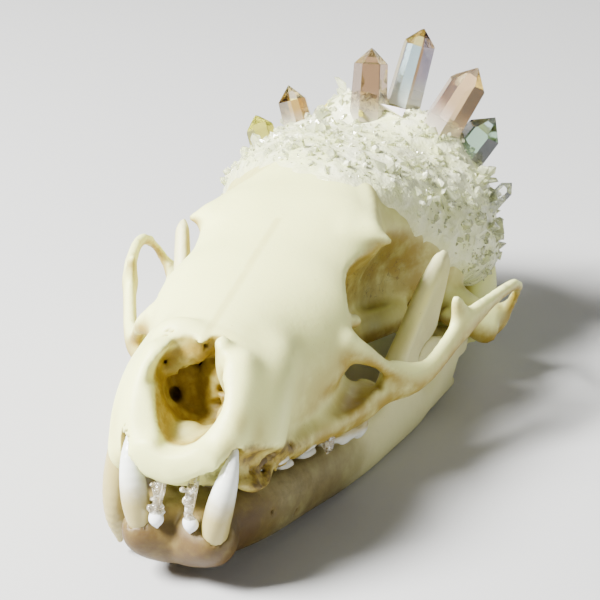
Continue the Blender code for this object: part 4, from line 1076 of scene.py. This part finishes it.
def tooth_points(row):
    """A cheek tooth as clay in its own place on the left side, with its crown mask."""
    _, (x, y), turn, across, along, root, cusp, cusps = row
    down = -1 if cusp < root else 1
    high = abs(cusp - root)
    clay = Clay((-across - 0.7, -along - 0.7, -0.7), (across + 0.7, along + 0.7, high + 0.7), TOOTH_GRAIN)
    crown = high - 0.35 * high
    clay.lay(egg((0, 0, crown), (across * 0.95, along * 0.95, 0.26 * high)), 0.01)
    for share in (-0.45, 0.45):
        clay.lay(limb([(0, share * along, 0.3), (0, share * along, crown)], [across * 0.45, across * 0.75],
                      [along * 0.28, along * 0.42]), 0.3)
    for place, side, height in cusps:
        x_at, y_at = side * across, place * along
        top = crown + (high - crown) * height
        clay.lay(limb([(x_at, y_at, crown - 0.3), (x_at, y_at, top - 0.25)],
                      [across * 0.8, 0.2], [along * 0.4, 0.25]), 0.35)
    points, quads = clay.skin(2)
    mask = smooth_step(points[:, 2] / high, 0.45, 0.8)
    angle = math.radians(turn)
    c, s = math.cos(angle), math.sin(angle)
    placed = np.column_stack([x + points[:, 0] * c + points[:, 1] * s,
                              y - points[:, 0] * s + points[:, 1] * c, root + down * points[:, 2]])
    return placed, quads[:, ::-1] if down < 0 else quads, mask


def mirrored(points, faces):
    """The same skin on the other side of the skull."""
    return points * (-1, 1, 1), np.asarray(faces)[:, ::-1]


def crust_reach(points):
    """How far places lie inside the edge of the crust."""
    x, y, z = points.T
    z = z + CRUST_DROP * smooth_step(y, 58, 66)
    front_y, front_z, slope, side_slope = CRUST_FRONT
    behind = (y - front_y - slope * (front_z - z) + side_slope * np.minimum(x, 0)) / math.hypot(1, slope)
    return np.minimum(behind, np.minimum(z - CRUST_LOW, CRUST_END - y))


def crust_clay(grain):
    """The bed that the chips are set in: a film on the braincase that swells into a mound."""
    clay = Clay((-21, 40, 4), (21, 81, 34), grain)
    clay.lay(loft(SECTIONS, FILM), 0.01)
    for centre, radii in CRUST_MOUNDS:
        clay.lay(egg(centre, [r - 0.8 for r in radii]), 2.0)
    x, y, z = np.meshgrid(*clay.axes, indexing="ij")
    points = np.column_stack([x.ravel(), y.ravel(), z.ravel()])
    wave = (lumps(points, 3.4, 1) * 0.35 + lumps(points, 1.3, 2) * 0.25).reshape(x.shape)
    inside = crust_reach(points).reshape(x.shape)
    thinning = 1.2 * (1 - smooth_step(inside, -0.5, 5))
    clay.field = smooth_most(clay.field + 0.8 * wave + thinning, 2.2 * wave - inside, 1.6).astype(np.float32)
    clay.cut(loft(SECTIONS, -0.7), 0.01)
    return clay


def chip_shapes(count, chance):
    """A few broken or six-sided grain shapes to scatter."""
    shapes = []
    for i in range(count):
        if i % 3:
            cloud = chance.normal(size=(8, 3))
            cloud /= np.linalg.norm(cloud, axis=1)[:, None]
            cloud *= chance.uniform(0.75, 1.1, (8, 1)) * np.array([0.75, 0.85, 1.15])
            shapes.append(hull_of(cloud))
        else:
            points, faces = quartz_crystal((0, 0, -1.1), (0, 0, 1.2), 0.62, chance.uniform(0, 60), chance,
                                           0.3)
            shapes.append((points, faces))
    return shapes


def random_turn(axis, lean, chance):
    """A rotation that puts a grain's long axis near the given direction."""
    way = axis + chance.normal(size=3) * lean
    way = Vector(way / np.linalg.norm(way))
    spin = Matrix.Rotation(chance.uniform(0, 2 * math.pi), 3, way)
    return np.array(spin @ way.to_track_quat("Z", "X").to_matrix())


def crust_mesh(grain, chips, seed):
    """The crust as points, faces, the kind of each face and how close each point is to its edge."""
    clay = crust_clay(grain)
    points, quads = clay.skin(1)
    normals = normals_of(points, quads)
    shell, _, _ = loft(SECTIONS)
    outside = shell(*points.T) > 0.25
    corners = points[quads]
    across = np.cross(corners[:, 2] - corners[:, 0], corners[:, 3] - corners[:, 1])
    middles = corners.mean(1)
    reach = crust_reach(middles)
    inwards = 0.25 + 0.75 * smooth_step(reach, 0.0, 6.0)
    areas = np.linalg.norm(across, axis=1) * outside[quads].all(1) * inwards
    chance = np.random.default_rng(seed)
    chosen = chance.choice(len(quads), size=chips, p=areas / areas.sum())
    shapes = chip_shapes(CHIP_SHAPES, chance)
    dark = 0.01 + spots(middles, SPECK_PATCHES)
    grains = []
    for index in chosen:
        normal = normals[quads[index][0]]
        inner = smooth_step(reach[index], 0, 6)
        size = min(CHIP_SIZE * math.exp(chance.normal() * 0.6) * (0.6 + 0.8 * inner), LARGEST_CHIP)
        turn = random_turn(normal, 0.6, chance)
        draw = chance.uniform()
        kind = YELLOW if draw < YELLOW_BELOW else MILK if draw < MILK_BELOW else CLEAR
        if chance.uniform() < dark[index]:
            kind, size = DARK, SPECK_SIZE
        place = middles[index] + normal * size * chance.uniform(-1.05, 0.05)
        grains.append((shapes[chance.integers(len(shapes))], size, turn, place, kind))
    for place, size, way, flatness, kind in CRUST_STONES:
        turn = random_turn(np.array(way, float), 0.1, chance) @ np.diag([flatness, 1, 1])
        grains.append((shapes[chance.integers(len(shapes))], size, turn, np.array(place), kind))
    all_points, all_faces, kinds = [points], quads.tolist(), [BED] * len(quads)
    offset = len(points)
    for (shape_points, shape_faces), size, turn, place, kind in grains:
        placed = shape_points * size @ turn.T + place
        all_points.append(placed)
        all_faces.extend([[i + offset for i in face] for face in shape_faces])
        kinds.extend([kind] * len(shape_faces))
        offset += len(placed)
    all_points = np.concatenate(all_points)
    return all_points, all_faces, kinds, 1 - smooth_step(crust_reach(all_points), -0.5, 6.5)


# The sides found here pick each crystal face's tint, painted reflection and refraction included
def facet_sides(points, faces, way):
    """Which way each face of a crystal looks in the photo; way runs from its root to its tip."""
    length = np.linalg.norm(way)
    middle = points.mean(0)
    sides = []
    for face in faces:
        out = points[face].mean(0) - middle
        along = out @ way / length
        out -= way * (out @ way) / (way @ way)
        side = (out[0] * math.cos(AZIMUTH) + out[1] * math.sin(AZIMUTH)) / (np.linalg.norm(out) + 1e-6)
        if along > POINT_FROM * length:
            sides.append(POINT)
        else:
            sides.append(LEFT if side < -SIDE_FROM else RIGHT if side > SIDE_FROM else FRONT)
    return sides


def cranium_masks(clay, points, normals):
    """Where the cranium gets painted shade in clefts, stains mixed with painted shade, dirt and cracks."""
    shell, _, _ = loft(SECTIONS)
    depth = -shell(*points.T)
    x, y, z = points.T
    # Painted shade deep inside the nose opening and the eye socket, low on the muzzle, on faces turned down
    # and on the temple's faces turned sideways
    in_nose = smooth_step(depth, 0.4, 1.2) * (y < 30) * (np.abs(x) < 5.6) * (z > 4.0)
    in_orbit = smooth_step(depth, 0.8, 2.5) * (y > 24) * (y < 58) * (np.abs(x) > 4)
    low_muzzle = smooth_step(-z, -5.0, -0.5) * smooth_step(y, 6, 12) * (y < 36)
    under = smooth_step(-normals[:, 2], -0.5, 0.3) * smooth_step(y, 8, 20) * (y < 60)
    sideways = np.abs(normals[:, 0])
    temple = smooth_step(sideways, 0.3, 0.7) * smooth_step(y, 36, 42) * (y < 66) * (np.abs(x) < 18)
    height = z + 0.22 * y
    worn = smooth_step(-height - 0.5 * np.abs(x - 7.5), -6.6, -5.4) * (x > 4.6) * (y > 2) * (y < 17)
    suture = np.exp(-(x / 0.3) ** 2) * (y > 6) * (y < 33) * (z > 9)
    # Painted light: the lit spots inside the nose are spared the painted shade and the dirt there
    scrolls = spots(points, NOSE_LIT_SCROLLS)
    # Painted shade from the nose, eye socket, low muzzle, downward faces and temple, mixed with real wear,
    # the suture and the spots, which are partly painted shade too
    stained = [0.85 * in_orbit, in_nose * (1 - 0.8 * scrolls), low_muzzle, under, worn, 0.45 * temple,
               0.4 * suture, spots(points, CRANIUM_STAINS_AND_SHADE)]
    soiled = [0.3 * in_nose * (1 - scrolls), 0.75 * worn, spots(points, CRANIUM_DIRT)]
    return {"hollow": hollowness(clay, points, normals), "stained": np.maximum.reduce(stained),
            "soiled": np.maximum.reduce(soiled), "cracked": 0.9 * in_orbit}


def jaw_masks(clay, points, normals):
    """Where the jaw gets painted shade, stains mixed with painted shade, dirt and cracks: most of all at the
    chin.
    """
    _, y, z = points.T
    chin = smooth_step(-y, -13, -6) * smooth_step(-z, 1.5, 4.5)
    sideways = np.abs(normals[:, 0])
    blade = smooth_step(z, 2, 5) * smooth_step(sideways, 0.5, 0.9) * smooth_step(y - 0.35 * z, 38, 41)
    pale = np.clip(smooth_step(y, 24, 34) + smooth_step(z, -2, 2), 0, 1)
    front = smooth_step(-y, -30, -12)
    # Painted shade at the chin, along the front of the jaw low down and on the blade's sideways faces; the
    # chin's brown is partly its own
    stained = [chin * (1 - 0.6 * spots(points, JAW_SEATS)), 0.45 * smooth_step(-y, -34, -20) * (z < 1),
               0.3 * blade, spots(points, JAW_STAINS)]
    # Painted shade: darker in clefts and at the chin, and all over except at the back and top, which are left
    # lit
    hollow = 0.8 * hollowness(clay, points, normals) + 0.6 - 0.65 * pale + 0.8 * chin
    return {"hollow": hollow, "stained": np.maximum.reduce(stained), "soiled": 0.25 * front,
            "cracked": 0.2 * front}


class BoneSettings(bpy.types.PropertyGroup):
    """How finely the bones are modelled."""
    grain: bpy.props.FloatProperty(
        name="Grain", description="Spacing of the modelling grid of the skull and the jaw",
        default=0.00042, min=0.0003, max=0.002, precision=5, unit="LENGTH")
    rounds: bpy.props.IntProperty(name="Relaxing rounds",
                                  description="How often the skin is relaxed after modelling", default=3,
                                  min=0, max=10)


class ToothSettings(bpy.types.PropertyGroup):
    """How finely the teeth are modelled."""
    grain: bpy.props.FloatProperty(
        name="Grain", description="Spacing of the modelling grid of the canines", default=0.00018,
        min=0.0001, max=0.001, precision=5, unit="LENGTH")


class CrustSettings(bpy.types.PropertyGroup):
    """How the crust of quartz chips is laid."""
    grain: bpy.props.FloatProperty(
        name="Grain", description="Spacing of the modelling grid of the crust's bed", default=0.00042,
        min=0.0003, max=0.002, precision=5, unit="LENGTH")
    chips: bpy.props.IntProperty(
        name="Chips", description="Number of quartz chips set in the crust", default=2600, min=0, max=8000)
    seed: bpy.props.IntProperty(name="Seed", description="Changes the scatter of the chips", default=7, min=0)


class StageSettings(bpy.types.PropertyGroup):
    """The floor and the lamps."""
    floor_size: bpy.props.FloatProperty(
        name="Floor size", description="Length of the floor's sides", default=3.0, min=0.5, unit="LENGTH")
    key_power: bpy.props.FloatProperty(
        name="Key light", description="Power of the large lamp over the snout, in watts", default=21.5, min=0)
    fill_power: bpy.props.FloatProperty(name="Fill light",
                                        description="Power of the weak lamp on the other side, in watts",
                                        default=0.7, min=0)
    sky: bpy.props.FloatProperty(
        name="Surroundings", description="Brightness of the even light from all round", default=0.1, min=0)


class SKULL_OT_build_cranium(bpy.types.Operator):
    """Model the skull above the jaw"""
    bl_idname = "skull.build_cranium"
    bl_label = "Build cranium"

    def execute(self, context):
        settings = context.scene.skull_bones
        clay = cranium_clay(settings.grain / MM)
        points, quads = clay.skin(settings.rounds)
        add_piece("cranium_look", to_world(points), quads, [bone_material("cranium_bone", CRANIUM_TONES)],
                  ["cranium"], masks=cranium_masks(clay, points, normals_of(points, quads)))
        return {"FINISHED"}


class SKULL_OT_build_mandible(bpy.types.Operator):
    """Model the lower jaw"""
    bl_idname = "skull.build_mandible"
    bl_label = "Build lower jaw"

    def execute(self, context):
        settings = context.scene.skull_bones
        clay = mandible_clay(settings.grain / MM)
        points, quads = clay.skin(settings.rounds)
        add_piece("mandible_look", floor_cut(points), quads, [bone_material("jaw_bone_look", JAW_TONES)],
                  ["mandible"], masks=jaw_masks(clay, points, normals_of(points, quads)))
        return {"FINISHED"}


class SKULL_OT_build_canines(bpy.types.Operator):
    """Model the three canines that are left"""
    bl_idname = "skull.build_canines"
    bl_label = "Build canines"

    def execute(self, context):
        grain = context.scene.skull_teeth.grain / MM
        enamel = enamel_material()
        for name, canine, whiteness in CANINES:
            places = np.array(canine[0])
            clay = Clay(places.min(0) - 3, places.max(0) + 3, grain)
            clay.lay(limb(*canine), 0.01)
            points, quads = clay.skin(3)
            share = (points[:, 2] - places[0][2]) / (places[-1][2] - places[0][2])
            add_piece(name + "_look", to_world(points), quads, [enamel], [name],
                      masks={"crown": smooth_step(share, 0.25, 0.85) * whiteness})
        return {"FINISHED"}


class SKULL_OT_build_cheek_teeth(bpy.types.Operator):
    """Model the cheek teeth of both jaws"""
    bl_idname = "skull.build_cheek_teeth"
    bl_label = "Build cheek teeth"

    def execute(self, context):
        enamel = enamel_material()
        for row in UPPER_TEETH + LOWER_TEETH:
            points, quads, crown = tooth_points(row)
            for side, placed, faces in (("left", points, quads), ("right", *mirrored(points, quads))):
                name = f"{row[0]}_{side}"
                add_piece(name + "_look", to_world(placed), faces, [enamel], [name],
                          masks={"crown": crown * CHEEK_TOOTH_WHITENESS})
        return {"FINISHED"}


class SKULL_OT_build_slivers(bpy.types.Operator):
    """Model the clear slivers that stand in for lost teeth"""
    bl_idname = "skull.build_slivers"
    bl_label = "Build slivers"

    def execute(self, context):
        clear = quartz_material("sliver_quartz", (0.92, 0.84, 0.66), 0.6, 0.85, 0.08, 1500.0)
        white = plain_material("sliver_white", (0.86, 0.88, 0.88), 0.3)
        chance = np.random.default_rng(SLIVER_SEED)
        for name, stem, foot in SLIVERS:
            clay = Clay((-3.4, -2.0, -4.6), (3.4, 3.2, 3.2), SLIVER_GRAIN)
            clay.lay(limb([(stem, 1.6, 2.2), (stem, 0.3, 0.2), (stem, -0.5, -1.9)],
                          [0.42, 0.62, 0.42], [0.42, 0.5, 0.4]), 0.01)
            for _ in range(SLIVER_BEADS):
                bead = (stem + chance.uniform(-0.8, 0.7), chance.uniform(-0.7, 0.3),
                        chance.uniform(-2.9, 0.9))
                clay.lay(egg(bead, chance.uniform(0.2, 0.42, 3)), 0.25)
            clay.lay(egg((foot, -0.55, -2.9), (0.8, 0.65, 0.75)), 0.5)
            clay.lay(limb([(foot, -0.5, -3.2), (foot * 0.95, -0.4, -3.9)], [0.5, 0.15]), 0.3)
            points, quads = clay.skin(2)
            bottom = points[quads].mean(1)[:, 2] < -2.3
            add_piece(name + "_look", to_world(points), quads, [clear, white], [name],
                      kinds=bottom.astype(int))
        points, faces = quartz_crystal(*ROW_CRYSTAL, np.random.default_rng(ROW_SEED))
        add_piece("tooth_row_crystal_look", to_world(points), faces, [clear], ["tooth_row_crystal"],
                  smooth=False)
        return {"FINISHED"}


class SKULL_OT_build_crust(bpy.types.Operator):
    """Lay the crust of quartz chips on the braincase"""
    bl_idname = "skull.build_crust"
    bl_label = "Build crust"

    def execute(self, context):
        settings = context.scene.skull_crust
        points, faces, kinds, edge = crust_mesh(settings.grain / MM, settings.chips, settings.seed)
        clear = quartz_material("crust_chips", (0.95, 0.98, 0.68), 0.5, 0.7, 0.05, 700.0, (0.92, 0.94, 0.62))
        yellow = quartz_material("crust_yellow", (0.84, 0.76, 0.14), 0.4, 0.4, 0.12, 700.0)
        dark = plain_material("crust_dark", (0.02, 0.025, 0.02), 0.4)
        milk = quartz_material("crust_milk", (0.94, 0.96, 0.70), 0.9, 0.25, 0.12, 500.0, (0.93, 0.95, 0.68))
        pink = quartz_material("crust_pink", (0.94, 0.84, 0.86), 0.9, 0.15, 0.2, 500.0, (0.95, 0.88, 0.90))
        materials = [bed_material(), clear, yellow, dark, milk, pink]
        add_piece("quartz_crust_look", to_world(points), faces, materials, ["quartz_crust"],
                  smooth=False, kinds=kinds, masks={"edge": edge})
        return {"FINISHED"}


class SKULL_OT_build_points(bpy.types.Operator):
    """Stand the row of single crystals in the crust"""
    bl_idname = "skull.build_points"
    bl_label = "Build crystals"

    def execute(self, context):
        for number, (root, tip, half, turn, side_tints_and_reflections) in enumerate(QUARTZ_POINTS, 1):
            name = f"quartz_point_{number}"
            points, faces = quartz_crystal(root, tip, half, turn, np.random.default_rng(POINT_SEED + number))
            way = np.array(tip) - np.array(root)
            masks = {"rooted": 1 - (points - np.array(root)) @ way / (way @ way),
                     "facet": facet_sides(points, faces, way)}
            # Each face's tint carries painted reflection and refraction, picked by which way it looks
            material = quartz_material(name + "_quartz", side_tints_and_reflections[0], 0.3, 0.95, 0.03, 500.0, (0.86, 0.87, 0.70),
                                       side_tints_and_reflections[1:])
            add_piece(name + "_look", to_world(points), faces, [material], [name],
                      smooth=False, masks=masks)
        return {"FINISHED"}


class SKULL_OT_build_stage(bpy.types.Operator):
    """Set the pale floor, the lamps and the photographer's camera"""
    bl_idname = "skull.build_stage"
    bl_label = "Build stage"

    def execute(self, context):
        settings = context.scene.skull_stage
        scene = context.scene
        half = settings.floor_size / 2
        mesh = bpy.data.meshes.new("floor")
        mesh.from_pydata([(-half, -half, 0), (half, -half, 0), (half, half, 0), (-half, half, 0)], [],
                         [(0, 1, 2, 3)])
        mesh.materials.append(plain_material("floor_paint", (0.50, 0.50, 0.49), 0.7))
        floor = bpy.data.objects.new("floor", mesh)
        scene.collection.objects.link(floor)
        for name, place, size, power in LAMPS:
            lamp = bpy.data.lights.new(name, "AREA")
            lamp.size = size
            lamp.energy = getattr(settings, power)
            holder = bpy.data.objects.new(name, lamp)
            holder.location = place
            holder.rotation_mode = "QUATERNION"
            holder.rotation_quaternion = (Vector(LAMPS_AIM) - Vector(place)).to_track_quat("-Z", "Y")
            scene.collection.objects.link(holder)
        world = bpy.data.worlds.new("surroundings")
        world.use_nodes = True
        light = world.node_tree.nodes["Background"]
        light.inputs["Color"].default_value = (0.95, 0.97, 1.0, 1)
        light.inputs["Strength"].default_value = settings.sky
        scene.world = world
        camera = bpy.data.cameras.new("photographer")
        camera.lens = LENS
        camera.sensor_width = 36
        camera.clip_start = 0.01
        viewer = bpy.data.objects.new("photographer", camera)
        viewer.matrix_world = photo_matrix()
        scene.collection.objects.link(viewer)
        scene.camera = viewer
        return {"FINISHED"}


def photo_matrix():
    """The photographer's place and aim as a camera matrix in the part's frame."""
    level = math.cos(ELEVATION)
    back = Vector((math.sin(AZIMUTH) * level, -math.cos(AZIMUTH) * level, math.sin(ELEVATION)))
    right = Vector((math.cos(AZIMUTH), math.sin(AZIMUTH), 0))
    up = back.cross(right)
    rolled_right = right * math.cos(ROLL) + up * math.sin(ROLL)
    rolled_up = up * math.cos(ROLL) - right * math.sin(ROLL)
    place = Vector(AIM) + rolled_right * STAND_OFF[0] + rolled_up * STAND_OFF[1] + back * STAND_OFF[2]
    turn = Matrix((rolled_right, rolled_up, back)).transposed()
    tip = Matrix.Rotation(PITCH, 3, "X")
    here = tip @ place + Vector((0, -MIDDLE_Y, LIFT))
    return Matrix.Translation(here * MM) @ (tip @ turn).to_4x4()


class SKULL_PT_panel(bpy.types.Panel):
    """Settings and steps for the skull"""
    bl_idname = "SKULL_PT_panel"
    bl_label = "Quartz-crowned skull"
    bl_space_type = "VIEW_3D"
    bl_region_type = "UI"
    bl_category = "Skull"

    def draw(self, context):
        layout = self.layout
        for group in (context.scene.skull_bones, context.scene.skull_teeth, context.scene.skull_crust,
                      context.scene.skull_stage):
            for key in group.bl_rna.properties.keys():
                if key not in ("rna_type", "name"):
                    layout.prop(group, key)
        for step in STEPS:
            layout.operator(step.bl_idname)


GROUPS = (("skull_bones", BoneSettings), ("skull_teeth", ToothSettings), ("skull_crust", CrustSettings),
          ("skull_stage", StageSettings))
STEPS = (SKULL_OT_build_cranium, SKULL_OT_build_mandible, SKULL_OT_build_canines, SKULL_OT_build_cheek_teeth,
         SKULL_OT_build_slivers, SKULL_OT_build_crust, SKULL_OT_build_points, SKULL_OT_build_stage)


def register():
    for label, group in GROUPS:
        bpy.utils.register_class(group)
        setattr(bpy.types.Scene, label, bpy.props.PointerProperty(type=group))
    for step in STEPS:
        bpy.utils.register_class(step)
    bpy.utils.register_class(SKULL_PT_panel)


def unregister():
    bpy.utils.unregister_class(SKULL_PT_panel)
    for step in reversed(STEPS):
        bpy.utils.unregister_class(step)
    for label, group in reversed(GROUPS):
        delattr(bpy.types.Scene, label)
        bpy.utils.unregister_class(group)


def main():
    register()
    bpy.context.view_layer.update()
    bpy.ops.skull.build_cranium()
    bpy.ops.skull.build_mandible()
    bpy.ops.skull.build_canines()
    bpy.ops.skull.build_cheek_teeth()
    bpy.ops.skull.build_slivers()
    bpy.ops.skull.build_crust()
    bpy.ops.skull.build_points()
    bpy.ops.skull.build_stage()


if __name__ == "__main__":
    main()
